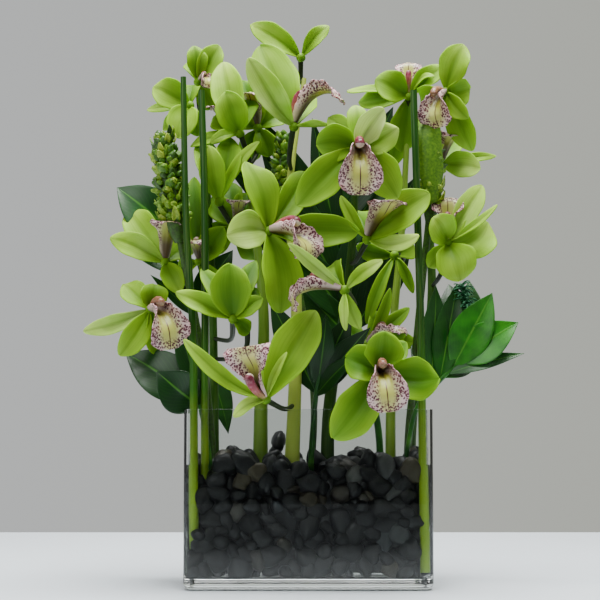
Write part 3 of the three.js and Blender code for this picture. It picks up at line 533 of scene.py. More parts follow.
# Bud spikes: a stout stalk that swells into a head of small round green buds, set close on a winding
# rule, with small pointed bracts between them. A broad bract is folded over the third head. Each has its
# foot, its bend, the neck and top of its head, and its head's half width.
BUD_SPIKES = [
    ((-74, -20, 24), (-84, -22, 160), (-110, -27, 302), (-122, -30, 376), 13.5),
    ((-6, 14, 24), (5, 14, 154), (-24, 28, 328), (-22, 28, 386), 7.5),
    ((78, -2, 24), (90, -10, 190), (104, -18, 318), (104, -20, 386), 10.0),
]
GOLDEN_TURN = 2.39996
SPIKE_STALK_RADIUS = 3.0
BUD_SIZES = (2.3, 4.3)
ROOM_OF_BUD = 6.4
ROOM_OF_BRACT = 24
BRACT_THICKNESS = 0.6
# Broad smooth bract that stands before the head of the third spike and folds back over its top
SPIKE_HOODS = {
    3: [(104, -28, 318), (104, -31, 336), (103, -33, 362), (102, -31, 383), (102, -24, 391), (102, -15, 388)]
}
HOOD_WIDTH = 21
HOOD_THICKNESS = 0.8


def number_corners(made, name, rule):
    """Writes a number on each corner of a piece, found from its place, for its material to read."""
    store = made.data.attributes.new(name, "FLOAT", "POINT")
    store.data.foreach_set("value", [rule(corner.co / MM) for corner in made.data.vertices])


def number_all(made, name, value):
    """Writes one number on every corner of a piece."""
    number_corners(made, name, lambda spot: value)


def join_pieces(made, name):
    """Joins pieces into the first of them."""
    bpy.ops.object.select_all(action="DESELECT")
    for item in made:
        item.select_set(True)
    bpy.context.view_layer.objects.active = made[0]
    bpy.ops.object.join()
    made[0].name = name
    return made[0]


def copy_of(pattern, matrix):
    """A copy of a piece with its own mesh, put in place by a matrix."""
    made = pattern.copy()
    made.data = pattern.data.copy()
    made.data.transform(matrix)
    bpy.context.scene.collection.objects.link(made)
    return made


def frame_from(spot, outward, size):
    """A matrix that puts a pattern at a spot with its +Z outward, scaled by a size in each way."""
    turn = outward.to_track_quat("Z", "Y").to_matrix().to_4x4()
    return Matrix.Translation(spot * MM) @ turn @ Matrix.Diagonal([*(Vector(size) * MM), 1])


def bezier_route(start, control, end, steps=32):
    """A plain bend from start to end that leans towards its control point."""
    return Route(
        [
            start * (1 - t) ** 2 + control * 2 * t * (1 - t) + end * t**2
            for t in (step / steps for step in range(steps + 1))
        ]
    )


def blade(name, route, face, section, columns, rows, even=False):
    """A sheet laid along a route: a grid whose rows follow the route and whose columns run across it.
    The section gives a corner's place beside and above the route, in millimetres, from the way along
    and across. Rows crowd towards the tip unless they are even."""
    bpy.ops.object.select_all(action="DESELECT")
    bpy.ops.mesh.primitive_grid_add(x_subdivisions=columns, y_subdivisions=rows, size=1)
    made = bpy.context.active_object
    made.name = name
    stations = {}
    for corner in made.data.vertices:
        share = round(corner.co.y + 0.5, 5)
        along = share if even else 1 - (1 - share) ** 1.5
        if share not in stations:
            side = route.heading(along).cross(face).normalized()
            stations[share] = (route.at(along), side, side.cross(route.heading(along)).normalized())
        centre, side, normal = stations[share]
        aside, lift = section(along, 2 * corner.co.x)
        corner.co = (centre + side * aside + normal * lift) * MM
    return made


def give_flesh(made, thickness, offset=0, rounded=True):
    """Gives a sheet its thickness, in millimetres: on both sides, or behind it with an offset of -1."""
    flesh = made.modifiers.new("flesh", "SOLIDIFY")
    flesh.thickness = thickness * MM
    flesh.offset = offset
    if rounded:
        round_off = made.modifiers.new("round_off", "SUBSURF")
        round_off.levels = round_off.render_levels = 1
    apply_modifiers(made)
    bpy.ops.object.shade_smooth()


# Bud patterns: small lumpy eggs, drawn in at the foot and pinched at the tip
BUD_PATTERN_COUNT = 4

bud_patterns = []
for number in range(BUD_PATTERN_COUNT):
    bpy.ops.object.select_all(action="DESELECT")
    bpy.ops.mesh.primitive_uv_sphere_add(segments=12, ring_count=8, radius=1)
    pattern = start_piece(f"bud_pattern_{number}")
    bpy.ops.object.mode_set(mode="EDIT")
    pick(pattern, "FACE", lambda corners: all(corner.z > 0.6 for corner in corners))
    bpy.ops.transform.resize(value=(0.6, 0.6, 1.0))
    bpy.ops.transform.translate(value=(0, 0, 0.25))
    bpy.ops.object.mode_set(mode="OBJECT")
    for corner in pattern.data.vertices:
        corner.co *= 1 + 0.45 * noise.noise(corner.co * 1.3 + Vector((5.1 * number, 2.2, 0.7)))
    bpy.ops.object.shade_smooth()
    bud_patterns.append(pattern)

# Bud skin: fresh green, lighter on the tops, with a few brown tips; a faint bloom makes it half matt
bud_skin, tree, shader = new_material("fresh_bud_skin")
place = add_node(tree, "ShaderNodeTexCoord")
mottle = add_node(
    tree,
    "ShaderNodeTexNoise",
    {"Vector": place.outputs["Object"], "Scale": 500, "Detail": 3},
)
own = add_node(tree, "ShaderNodeAttribute", attribute_name="tint")
mixed = add_node(
    tree, "ShaderNodeMath", {0: own.outputs["Fac"], 1: mottle.outputs["Fac"]}, operation="ADD"
)
half = add_node(tree, "ShaderNodeMath", {0: mixed.outputs["Value"], 1: 0.5}, operation="MULTIPLY")
tone = add_node(
    tree,
    "ShaderNodeValToRGB",
    {"Fac": half.outputs["Value"]},
    stops=[(0.12, "#3c3014"), (0.22, "#243e04"), (0.4, "#3a6a02"), (0.6, "#66920a"), (0.8, "#a6bc34")],
)
bump = add_node(
    tree,
    "ShaderNodeBump",
    {"Height": mottle.outputs["Fac"], "Strength": 0.3, "Distance": 0.0004},
)
set_sockets(
    shader,
    {
        "Base Color": tone.outputs["Color"],
        "Normal": bump.outputs["Normal"],
        "Roughness": 0.5,
    },
)

for number, (foot, bend, neck, top, width) in enumerate(BUD_SPIKES, 1):
    chance = random.Random(20 + number)
    low, high = Vector(neck), Vector(top)
    route = smooth_route([foot, bend, low.lerp(high, 0.1)])
    made = [stem_along("spike_stalk", route, lambda share: SPIKE_STALK_RADIUS, 30, 12)]
    core = Route([low.lerp(Vector(bend), 0.12), low, high])
    made.append(
        stem_along(
            "spike_core", core, lambda share: width * (0.35 + 0.38 * math.sin(math.pi * share**0.7)), 14, 12
        )
    )
    axis = (high - low).normalized()
    across = axis.orthogonal().normalized()
    length = (high - low).length
    count = int(length * width / ROOM_OF_BUD)
    for index in range(count):
        share = (index + 0.5) / count
        swell = width * (0.62 + 0.38 * math.sin(math.pi * (0.12 + 0.7 * share)))
        spoke = across.copy()
        spoke.rotate(Matrix.Rotation(index * GOLDEN_TURN + chance.uniform(-0.5, 0.5), 3, axis))
        lift = 0.25 + 1.3 * share**3
        outward = (spoke + axis * lift).normalized()
        sunk = chance.uniform(0.66, 0.92) - 0.45 * share**4
        spot = low.lerp(high, share) + spoke * swell * sunk + axis * chance.uniform(-2.5, 2.5)
        size = chance.uniform(*BUD_SIZES)
        shape = (size, size * chance.uniform(0.7, 1.1), size * chance.uniform(0.9, 1.4))
        bud = copy_of(chance.choice(bud_patterns), frame_from(spot, outward, shape))
        number_all(bud, "tint", chance.random() if share > 0.3 else chance.uniform(0.5, 1))
        made.append(bud)
    for index in range(int(length * width / ROOM_OF_BRACT)):
        share = chance.uniform(0, 1) ** 1.6
        spoke = across.copy()
        spoke.rotate(Matrix.Rotation(index * GOLDEN_TURN, 3, axis))
        foot_spot = low.lerp(high, share) + spoke * width * 0.5
        size = (9 - 4.5 * share) * width / 13.5 + 4
        tip_spot = foot_spot + (spoke * (0.75 - 0.35 * share) + axis * 0.9) * size
        bent = bezier_route(foot_spot, foot_spot.lerp(tip_spot, 0.5) + spoke * size * 0.25, tip_spot, 8)

        def bract_section(along, across):
            half = size * 0.24 * math.sin(math.pi * min(1, 0.18 + along * 0.82)) + 0.25
            return across * half, across**2 * half * 0.4

        bract = blade("bract", bent, spoke, bract_section, 4, 8)
        give_flesh(bract, BRACT_THICKNESS, -1, rounded=False)
        tint = chance.choice((0.05, 0.6, 0.8, 1.1)) if share > 0.3 else chance.uniform(0.6, 1)
        number_all(bract, "tint", tint)
        made.append(bract)
    if number in SPIKE_HOODS:

        def hood_section(along, across):
            half = HOOD_WIDTH / 2 * min(1, 0.55 + 1.6 * along) * (1 - 0.25 * along**4)
            wave = 0.9 * abs(across) ** 3 * math.sin(16 * along + 2 * across)
            dent = 0.5 * noise.noise(Vector((7 * across, 9 * along, 2)))
            return across * half, wave - 3.4 * across**2 - dent

        way = smooth_route(SPIKE_HOODS[number])
        hood = blade("hood", way, Vector((0.1, -1, 0.6)), hood_section, 14, 30, even=True)
        give_flesh(hood, HOOD_THICKNESS, -1)
        number_all(hood, "tint", 0.52)
        made.append(hood)
    for item in made[:2]:
        number_all(item, "tint", 0.05)
    spike = join_pieces(made, f"bud_spike_head_{number}")
    spike.data.materials.clear()
    spike.data.materials.append(bud_skin)
    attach(spike, "root")
    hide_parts(f"bud_spike_{number}")
for pattern in bud_patterns:
    bpy.data.objects.remove(pattern)


# Orchid blooms: waxy lime-green petals and sepals, all alike in shape, round a small middle. Each has
# its place, the way it faces (turned right and tipped up, in degrees), its roll, its lip's size (0 for
# none) and curl, and its tepals, whose rows give the tip from the middle of the bloom (right, back, up),
# width, bow, twist towards the front and arch of the middle.
BLOOMS = [
    (
        "bloom_01", (-12, -35, 381), (74, 72), 0, (1.22, 0.95),
        [
            (-37, -30, 51, 24, 5, 0.95, -6),
            (-29, 26, 74, 43, 3, 0.9, 4),
            (37, -14, 0, 18, 3, 0, -3),
            (17, 44, 35, 18, 4, 0.8),
            (-31, 48, 44, 22, 6, 0.8),
        ],
    ),
    (
        "bloom_02", (40, -60, 359), (2, -8), 0, (1.3, 1),
        [
            (21, -24, 27, 22, 8, 0.6, 3),
            (32, -12, 14, 26, 5, 0, -2),
            (-34, -10, 1, 31, 5, 0, 2),
            (-49, -16, -50, 31, 6, 0, 2),
            (32, -10, -43, 31, 6),
            (-23, 10, 28, 19, 4, 0.7),
            (-1, 4, 37, 18, 6, 0.8, 2),
        ],
    ),
    (
        "bloom_03", (-33, -52, 291), (50, 6), 8, (1.35, 0.7),
        [
            (-18, -2, 58, 29, 7, 0.5),
            (31, 30, 56, 26, 4, 0.5),
            (-33, -20, -5, 32, 7, 0.5),
            (12, -6, -68, 37, 7, 0.5, -2),
            (74, 10, 1, 29, 5, 0.5),
        ],
    ),
    (
        "bloom_04", (29, -74, 241), (-80, 18), 6, (1.2, 0.75),
        [
            (-45, -26, 35, 11, 4, 0.7),
            (30, -8, 23, 13, 5, 0.7),
            (0, -12, -33, 8, 4, 0.8),
            (12, 10, -30, 13, 4, 0.8),
            (-7, 30, 27, 19, 5, 0.6),
        ],
    ),
    (
        "bloom_05", (-34, -72, 154), (-34, 40), 172, (1.25, 0.2),
        [
            (40, 14, 71, 37, 6, 0.75),
            (17, -14, 37, 8, 4, 0.4),
            (-25, -14, -14, 13, 4, 0.3),
            (-66, 2, 48, 14, 4, 0.8, -8),
            (11, 30, 26, 23, 4, 0.6),
        ],
    ),
    (
        "bloom_06", (57, -76, 176), (2, 6), -6, (1.2, 1),
        [
            (3, -22, 31, 32, 7, 0.2, 4),
            (48, -2, -5, 35, 6, 0, -3),
            (-28, -4, 11, 30, 6, 0.3),
            (-38, -4, -53, 35, 6, 0.3, -6),
            (21, 6, 24, 18, 4, 0.4),
        ],
    ),
    (
        "bloom_07", (-132, -22, 229), (24, 4), -10, (1.25, 1),
        [
            (-57, 2, -18, 16, 5, 0, -2),
            (-23, 8, 22, 23, 5),
            (4, -4, 22, 25, 5),
            (-24, -12, -39, 23, 5, 0, -2),
            (6, 8, -38, 23, 5),
        ],
    ),
    (
        "bloom_08", (-121, -8, 270), (14, 76), 0, (1.15, 0.5),
        [
            (-35, 24, 48, 29, 5, 0.95, 3),
            (-46, -6, 20, 22, 5, 0.9, 2),
            (14, -16, -27, 20, 4, 0.8),
            (-16, 42, 39, 24, 5, 0.8),
            (18, 30, 19, 22, 4, 0.8),
        ],
    ),
    (
        "bloom_09", (-61, -58, 219), (10, 58), 0, (0, 1),
        [
            (-2, -14, 43, 34, 7, 0.9),
            (-46, -6, 21, 17, 5, 0.85),
            (24, -8, 17, 16, 4, 0.8),
            (-27, 20, 43, 16, 5, 0.8),
            (19, 24, 26, 18, 5, 0.8),
            (13, 8, -11, 15, 4, 0.8),
            (17, 28, 50, 18, 5, 0.8),
        ],
    ),
    (
        "bloom_10", (-102, 5, 407), (-40, 48), 0, (0, 1),
        [
            (-31, -6, 16, 27, 5, 0.9),
            (-37, 2, -3, 10, 4, 0.6, -2),
            (-9, -14, -31, 27, 5, 0.9),
            (2, 14, 22, 17, 4, 0.8),
            (8, -8, -28, 17, 4, 0.8),
            (-24, 16, -18, 12, 4, 0.8),
        ],
    ),
    (
        "bloom_11", (-96, 24, 432), (10, 10), 0, (0, 1),
        [
            (-3, -8, 31, 19, 4),
            (18, -2, 32, 22, 4),
            (-8, 16, 22, 17, 4),
            (15, 16, 9, 17, 4),
            (10, 6, -24, 21, 4),
        ],
    ),
    (
        "bloom_12", (-58, -8, 380), (-105, 60), 0, (0.95, 0.2),
        [
            (-16, 12, 67, 29, 5, 0.8),
            (-12, -18, 33, 28, 7, 0.95),
            (-25, -8, -9, 12, 4, 0.7),
            (9, 30, 37, 20, 5, 0.8),
            (-43, 8, -9, 14, 4, 0.6),
            (-24, 16, 17, 24, 4, 0.7),
        ],
    ),
    (
        "bloom_13", (-75, -20, 320), (4, 68), 0, (0, 1),
        [
            (-8, -16, 45, 23, 6, 0.95),
            (10, 10, 58, 25, 5, 0.9),
            (34, 2, 52, 11, 3, 0.8, 6),
            (-17, 26, 61, 22, 5, 0.8),
        ],
    ),
    (
        "bloom_14", (88, 20, 418), (-4, 84), 180, (0.85, 0.3),
        [
            (-30, -14, 13, 29, 6, 0.9),
            (32, -10, 25, 19, 5, 0.7),
            (-54, 10, 8, 12, 4, 0.5),
            (21, -16, 14, 10, 4, 0.5, 4),
            (-6, 12, -47, 29, 5, 0.8),
            (-43, 12, -3, 24, 4, 0.7),
            (-15, 22, -60, 23, 4, 0.7),
        ],
    ),
    (
        "bloom_15", (117, -15, 415), (-30, -18), -6, (1.05, 0.8),
        [
            (14, -8, 39, 28, 5),
            (17, -16, -26, 17, 4),
            (22, 4, -51, 25, 5, 0, 4),
            (-21, 14, -7, 27, 5),
            (21, 2, 3, 23, 5),
        ],
    ),
    (
        "bloom_16", (116, 15, 358), (22, 66), 0, (0.95, 0.6),
        [
            (33, -12, -5, 24, 5, 0.9),
            (49, 12, 9, 9, 4, 0.8),
            (-12, 26, 22, 23, 5, 0.7),
            (16, 36, 28, 21, 5, 0.7),
        ],
    ),
    (
        "bloom_17", (117, -25, 285), (-8, 74), 180, (1, 0.3),
        [
            (30, 4, 50, 22, 5, 0.9),
            (-14, -22, 19, 28, 6, 0.8),
            (39, -16, 30, 8, 3, 0.5, -5),
            (34, 6, 18, 35, 5, 1, -8),
            (9, -14, -34, 35, 6, 1),
            (-16, 6, -21, 18, 4, 0.9),
        ],
    ),
    (
        "bloom_18", (49, -36, 286), (36, 60), 0, (1.25, 0.3),
        [
            (-22, -8, 36, 12, 4, 0.6, -6),
            (51, -12, 38, 31, 5, 0.85),
            (41, -24, 1, 16, 5, 0.6, -8),
            (-10, 36, 30, 22, 4, 0.7),
        ],
    ),
    (
        "bloom_19", (74, 4, 277), (-60, -30), 0, (0, 1),
        [
            (-25, -12, -59, 12, 4, 0.8, 3),
            (15, -6, -33, 10, 3, 0.6, 6),
            (-32, 16, 9, 17, 4, 0.5),
            (19, 22, 11, 19, 4, 0.6),
        ],
    ),
    (
        "bloom_20", (48, -22, 199), (55, 40), 0, (1, 0.4),
        [
            (20, -10, 47, 10, 4, 0.7, -6),
            (34, 10, 11, 17, 4, 0.7),
            (14, 32, 32, 17, 4, 0.7),
            (-21, 24, 18, 20, 4, 0.6),
            (45, 22, 4, 17, 4, 0.7),
            (37, 8, 32, 13, 4, 0.7),
        ],
    ),
    (
        "bloom_21", (-62, 22, 303), (-30, 30), 0, (0, 1),
        [
            (-22, 10, 28, 23, 4, 0.5),
            (19, 16, 34, 24, 4, 0.5),
            (-27, 12, -6, 19, 4, 0.5),
            (19, 20, -26, 21, 4, 0.5),
            (-19, 2, -21, 22, 4, 0.6),
            (-6, 22, 44, 24, 4, 0.6),
        ],
    ),
    (
        "bloom_22", (-93, 6, 272), (-8, 50), 0, (0.9, 0.5),
        [
            (-7, 26, 77, 21, 4, 0.7),
            (21, -12, 28, 24, 5, 0.9),
            (-18, 16, -9, 19, 4, 0.7),
            (15, 12, -25, 19, 4, 0.7),
        ],
    ),
    (
        "bloom_23", (-44, 34, 393), (-20, 24), 0, (0, 1),
        [
            (2, 6, 39, 23, 4, 0.6),
            (25, 10, 16, 23, 4, 0.6),
            (-27, 8, 7, 19, 4, 0.6),
            (11, 0, -25, 21, 4, 0.7),
            (-11, 10, -29, 23, 4, 0.6),
            (-13, 10, 45, 19, 4, 0.6),
        ],
    ),
    (
        "bloom_24", (-6, 30, 455), (10, 56), 0, (0, 1),
        [
            (-44, -6, 28, 23, 4, 0.8, -1),
            (25, -4, 28, 15, 4, 0.7, 2),
            (-27, 12, 23, 16, 4, 0.8),
            (11, 14, 16, 9, 4, 0.7),
        ],
    ),
]
FRONT = Vector((0, -1, 0))
# How pale each tepal is, in the order of the table, from fresh green (0) to pale yellow green (1) and
# nearly white green (2): partly its ripeness and fading, partly painted light, paler for tepals turned up
# to the lamps and deeper for tepals in shade; the tepals of blooms that aren't named are drawn from the seed
RIPENESS_AND_PAINTED_LIGHT = {
    "bloom_01": [1.7, 0.8, 1.4, 0.6, 0.6],
    "bloom_02": [2.3, 1.4, 0.35, 0.4, 0.8, 0.6, 0.8],
    "bloom_03": [0.6, 0.5, 1.5, 0.6, 0.4],
    "bloom_04": [1.5, 1.4, 1.2, 1.2, 0.5],
    "bloom_05": [0.7, 1.3, 1.4, 0.8, 0.4],
    "bloom_06": [0.3, 0.15, 0.15, 0.3, 0.2],
    "bloom_07": [1.6, 1.0, 0.45, 0.8, 0.4],
    "bloom_08": [1.0, 1.2, 0.7, 0.5, 0.5],
    "bloom_09": [0.3, 0.8, 0.4, 0.3, 0.3, 0.2, 0.2],
    "bloom_10": [0.9, 1.2, 1.0, 0.5, 0.5, 0.6],
    "bloom_11": [0.5, 0.8, 0.5, 0.4, 0.6],
    "bloom_12": [1.2, 0.8, 0.7, 0.4, 0.8, 0.4],
    "bloom_13": [1.0, 0.4, 1.1, 0.3],
    "bloom_14": [0.5, 0.7, 1.2, 0.7, 0.3, 0.5, 0.3],
    "bloom_15": [0.9, 0.6, 0.7, 0.7, 0.7],
    "bloom_16": [1.3, 1.0, 0.5, 0.5],
    "bloom_17": [1.4, 1.1, 1.2, 1.2, 0.85, 1.0],
    "bloom_18": [1.0, 0.8, 1.3, 0.4],
    "bloom_24": [1.1, 0.7, 0.6, 0.6],
}
TEPAL_ROOT = 2.2
TEPAL_WIDEST = 0.56
TEPAL_NARROW_BASE = 0.14
TEPAL_SHOULDER = 1.8
TEPAL_TAPER = 0.62
TEPAL_THICKNESS = 1.1
TEPAL_COLUMNS = 10
TEPAL_ROWS = 16
HEART_RADIUS = 4.2


def tepal_half_width(width, along):
    """Half the width of a tepal at a share of its length: narrow foot, widest past the middle, blunt tip."""
    rise = math.sin(math.pi / 2 * min(1, along / TEPAL_WIDEST))
    past = max(0, (along - TEPAL_WIDEST) / (1 - TEPAL_WIDEST))
    swell = TEPAL_NARROW_BASE + (1 - TEPAL_NARROW_BASE) * rise
    return width / 2 * swell * max(0.002, 1 - past**TEPAL_SHOULDER) ** TEPAL_TAPER


def bloom_frame(facing, roll):
    """Forward, up and right of a bloom."""
    turn, tip, rolled = (math.radians(angle) for angle in (*facing, roll))
    forward = Vector((math.sin(turn) * math.cos(tip), -math.cos(turn) * math.cos(tip), math.sin(tip)))
    level = Vector((math.cos(turn), math.sin(turn), 0))
    upright = -level.cross(forward)
    up = upright * math.cos(rolled) + level * math.sin(rolled)
    return forward, up, level * math.cos(rolled) - upright * math.sin(rolled)


def place_on_blade(tree):
    """The sheet's coordinates, the way along it from 0 to 1 and the way out from its middle, to 0.5."""
    sheet = add_node(tree, "ShaderNodeUVMap", uv_map="UVMap")
    parts = add_node(tree, "ShaderNodeSeparateXYZ", {"Vector": sheet.outputs["UV"]})
    middle = add_node(tree, "ShaderNodeMath", {0: parts.outputs["X"], 1: 0.5}, operation="SUBTRACT")
    aside = add_node(tree, "ShaderNodeMath", {0: middle.outputs["Value"]}, operation="ABSOLUTE")
    return sheet.outputs["UV"], parts.outputs["Y"], aside.outputs["Value"]


# Tepal flesh: thin and waxy, so that light soaks through it. Lime green, deeper and yellower at the
# foot, paler at the rim, partly its own margin and partly a painted highlight on its lit edges, with
# about a dozen fine lengthwise veins
tepal_flesh, tree, shader = new_material("waxy_green_tepal")
sheet, along, aside = place_on_blade(tree)
own = add_node(tree, "ShaderNodeAttribute", attribute_name="tint")
fresh = add_node(
    tree,
    "ShaderNodeValToRGB",
    {"Fac": along},
    stops=[(0.0, "#2a6200"), (0.3, "#357200"), (0.65, "#4c8c02"), (1.0, "#6cac0c")],
)
# Paler rim: partly the tepal's own margin, partly a painted highlight on its lit edges
rim = add_node(
    tree, "ShaderNodeMapRange", {"Value": aside, "From Min": 0.2, "From Max": 0.5, "To Max": 0.55}
)
# Pale yellow green of ripe tepals, also painted light on the tepals that are lit most
ripe_and_lit = add_node(
    tree,
    "ShaderNodeValToRGB",
    {"Fac": along},
    stops=[(0.0, "#84b41c"), (0.3, "#9ecb2c"), (0.65, "#b8e044"), (1.0, "#cdee62")],
)
place = add_node(tree, "ShaderNodeTexCoord")
cloud = add_node(tree, "ShaderNodeTexNoise", {"Vector": place.outputs["Object"], "Scale": 30, "Detail": 3})
patchy = add_node(
    tree,
    "ShaderNodeMapRange",
    {"Value": cloud.outputs["Fac"], "From Min": 0.3, "From Max": 0.65, "To Min": 0.6},
)
mood = add_node(
    tree, "ShaderNodeMath", {0: patchy.outputs["Result"], 1: own.outputs["Fac"]}, operation="MULTIPLY"
)
ripened_and_lit = add_node(
    tree,
    "ShaderNodeMix",
    {"Factor": mood.outputs["Value"], "A": fresh.outputs["Color"], "B": ripe_and_lit.outputs["Color"]},
    data_type="RGBA",
)
paler_and_lit_rim = add_node(
    tree,
    "ShaderNodeMix",
    {"Factor": rim.outputs["Result"], "A": ripened_and_lit.outputs["Result"], "B": linear("#b2e622")},
    data_type="RGBA",
)
# Nearly white green for the palest tepals: partly fading, partly a painted highlight where a tepal is lit most
faded_and_lit_share = add_node(
    tree,
    "ShaderNodeMapRange",
    {"Value": mood.outputs["Value"], "From Min": 0.9, "From Max": 1.8, "To Max": 0.7},
)
faded_and_lit = add_node(
    tree,
    "ShaderNodeMix",
    {"Factor": faded_and_lit_share.outputs["Result"], "A": paler_and_lit_rim.outputs["Result"], "B": linear("#e6f4a6")},
    data_type="RGBA",
)
waves = add_node(tree, "ShaderNodeMapping", {"Vector": sheet, "Scale": (13, 0.8, 1)})
vein = add_node(tree, "ShaderNodeTexNoise", {"Vector": waves.outputs["Vector"], "Scale": 1.6, "Detail": 2})
line = add_node(
    tree,
    "ShaderNodeMapRange",
    {"Value": vein.outputs["Fac"], "From Min": 0.5, "From Max": 0.75, "To Max": 0.3},
)
veined = add_node(
    tree,
    "ShaderNodeMix",
    {"Factor": line.outputs["Result"], "A": faded_and_lit.outputs["Result"], "B": linear("#4c8404")},
    data_type="RGBA",
)
midrib = add_node(
    tree, "ShaderNodeMapRange", {"Value": aside, "From Min": 0.14, "From Max": 0.0, "To Max": 0.3}
)
ribbed = add_node(
    tree,
    "ShaderNodeMix",
    {"Factor": midrib.outputs["Result"], "A": veined.outputs["Result"], "B": linear("#2f6803")},
    data_type="RGBA",
)
soaked = add_node(tree, "ShaderNodeBsdfTranslucent", {"Color": ribbed.outputs["Result"]})
both = add_node(
    tree, "ShaderNodeMixShader", {0: 0.36, 1: shader.outputs["BSDF"], 2: soaked.outputs["BSDF"]}
)
set_sockets(tree.nodes["Material Output"], {"Surface": both.outputs["Shader"]})
bump = add_node(
    tree,
    "ShaderNodeBump",
    {"Height": vein.outputs["Fac"], "Strength": 0.3, "Distance": 0.0006},
)
set_sockets(
    shader,
    {
        "Base Color": ribbed.outputs["Result"],
        "Normal": bump.outputs["Normal"],
        "Roughness": 0.5,
        "Specular IOR Level": 0.22,
    },
)

tepal_chance = random.Random(5)


def make_tepal(centre, forward, ripe_and_lit, right, back, up, width, bow, twist=0, arch=0):
    """One tepal, cupped across and bowed along, with a slightly waved rim."""
    reach = Vector((right, back, up))
    face = forward.lerp(FRONT, twist).normalized()
    base = centre + reach.normalized() * TEPAL_ROOT
    control = base.lerp(centre + reach, 0.45) + face * bow * 2 + Vector((0, 0, arch * 2))
    cup = width * tepal_chance.uniform(0.08, 0.24)
    swing, phase = tepal_chance.uniform(0.03, 0.09) * width, tepal_chance.uniform(0, 6)
    crease = tepal_chance.uniform(0.03, 0.09) * width
    droop = tepal_chance.uniform(-0.14, 0.05) * width
    lean = tepal_chance.uniform(-0.06, 0.06) * width

    def section(along, across):
        wave = swing * abs(across) ** 2.5 * math.sin(phase + (9 if across > 0 else 7) * along)
        fold = cup * math.sin(math.pi * min(1, along + 0.1)) * across**2
        groove = crease * math.exp(-((across / 0.16) ** 2)) * math.sin(math.pi * min(1, along * 1.1))
        nick = 1 + 0.03 * math.sin(phase * 3 + 19 * along) * (1 if across > 0 else -1)
        drift = lean * math.sin(math.pi * along)
        aside = across * tepal_half_width(width, along) * nick + drift
        return aside, fold - groove + wave * min(1, 3 * along) + droop * along**4

    route = bezier_route(base, control, centre + reach)
    made = blade("tepal", route, face, section, TEPAL_COLUMNS, TEPAL_ROWS)
    number_all(made, "tint", ripe_and_lit)
    return made


for name, at, facing, roll, lip, tepals in BLOOMS:
    centre = Vector(at)
    forward = bloom_frame(facing, roll)[0]
    # Each tepal's paleness is partly its ripeness and partly painted light and shade
    shades = RIPENESS_AND_PAINTED_LIGHT.get(name) or [tepal_chance.uniform(0.1, 0.6) for row in tepals]
    made = [make_tepal(centre, forward, ripe_and_lit, *row) for ripe_and_lit, row in zip(shades, tepals)]
    bloom = join_pieces(made, f"{name}_tepals")
    give_flesh(bloom, TEPAL_THICKNESS)
    bpy.ops.mesh.primitive_uv_sphere_add(
        segments=16, ring_count=10, radius=HEART_RADIUS * MM, location=centre * MM
    )
    heart = start_piece("heart")
    bpy.ops.object.shade_smooth()
    number_all(heart, "tint", 0.35)
    bloom = join_pieces([bloom, heart], f"{name}_tepals")
    bloom.data.materials.clear()
    bloom.data.materials.append(tepal_flesh)
    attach(bloom, "root")
    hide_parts(name)


# Lips: the sixth part of each bloom, a cream trough whose side lobes stand up round the column and
# whose broad frilled front lobe rolls under. Spotted maroon, flushed pink at the rim, olive in the throat.
LIP_ROUTE = [(0, -1, 3.5), (0, -4, 14), (0, -8, 23), (0, -17, 29), (0, -30, 26)]
LIP_STATIONS = [0, 0.25, 0.5, 0.72, 0.9, 1]
LIP_HALF_ARCS = [5, 9.5, 13.5, 15, 12.5, 6.5]
LIP_ROLLS = [100, 125, 118, 42, -14, -24]
LIP_FALL = 8
LIP_LIFT = 0.64
LIP_THICKNESS = 0.9
LIP_COLUMNS = 24
LIP_ROWS = 30
FRILL = 1.1
COLUMN_ROUTE = [(0, 0.5, 3.5), (0, 3.6, 13), (0, 3.6, 20.5), (0, 2.2, 23.5)]
CAP_PLACE = (0, 1.9, 23.4)
CAP_RADIUS = 3.0


def eased(stations, values, share):
    """A value between stations, eased so that no station shows as a corner."""
    index = max(i for i in range(len(stations) - 1) if stations[i] <= share + 1e-9)
    part = (share - stations[index]) / (stations[index + 1] - stations[index])
    part = 0.5 * part + 0.5 * part * part * (3 - 2 * part)
    return values[index] + (values[index + 1] - values[index]) * min(max(part, 0), 1)


# Lip flesh: cream and waxy; maroon spots under 2 mm across run together outside the middle strip
lip_flesh, tree, shader = new_material("spotted_cream_lip")
sheet, along, aside = place_on_blade(tree)
place = add_node(tree, "ShaderNodeTexCoord")
throat = add_node(
    tree,
    "ShaderNodeValToRGB",
    {"Fac": along},
    stops=[
        (0.0, "#4a3212"),
        (0.3, "#4e3e08"),
        (0.46, "#767414"),
        (0.62, "#a6ac3a"),
        (0.8, "#c4c468"),
        (1.0, "#cfc68c"),
    ],
)
outer = add_node(
    tree, "ShaderNodeMapRange", {"Value": aside, "From Min": 0.14, "From Max": 0.36}
)
cream = add_node(
    tree,
    "ShaderNodeMix",
    {"Factor": outer.outputs["Result"], "A": throat.outputs["Color"], "B": linear("#dccabd")},
    data_type="RGBA",
)
blush = add_node(tree, "ShaderNodeTexNoise", {"Vector": place.outputs["Object"], "Scale": 130, "Detail": 3})
rim = add_node(
    tree, "ShaderNodeMapRange", {"Value": aside, "From Min": 0.25, "From Max": 0.5}
)
flush = add_node(
    tree,
    "ShaderNodeMath",
    {0: rim.outputs["Result"], 1: blush.outputs["Fac"]},
    operation="MULTIPLY",
)
pink = add_node(
    tree,
    "ShaderNodeMix",
    {"Factor": flush.outputs["Value"], "A": cream.outputs["Result"], "B": linear("#c87d9b")},
    data_type="RGBA",
)
smudge = add_node(
    tree,
    "ShaderNodeTexNoise",
    {"Vector": place.outputs["Object"], "Scale": 700, "Detail": 1},
)
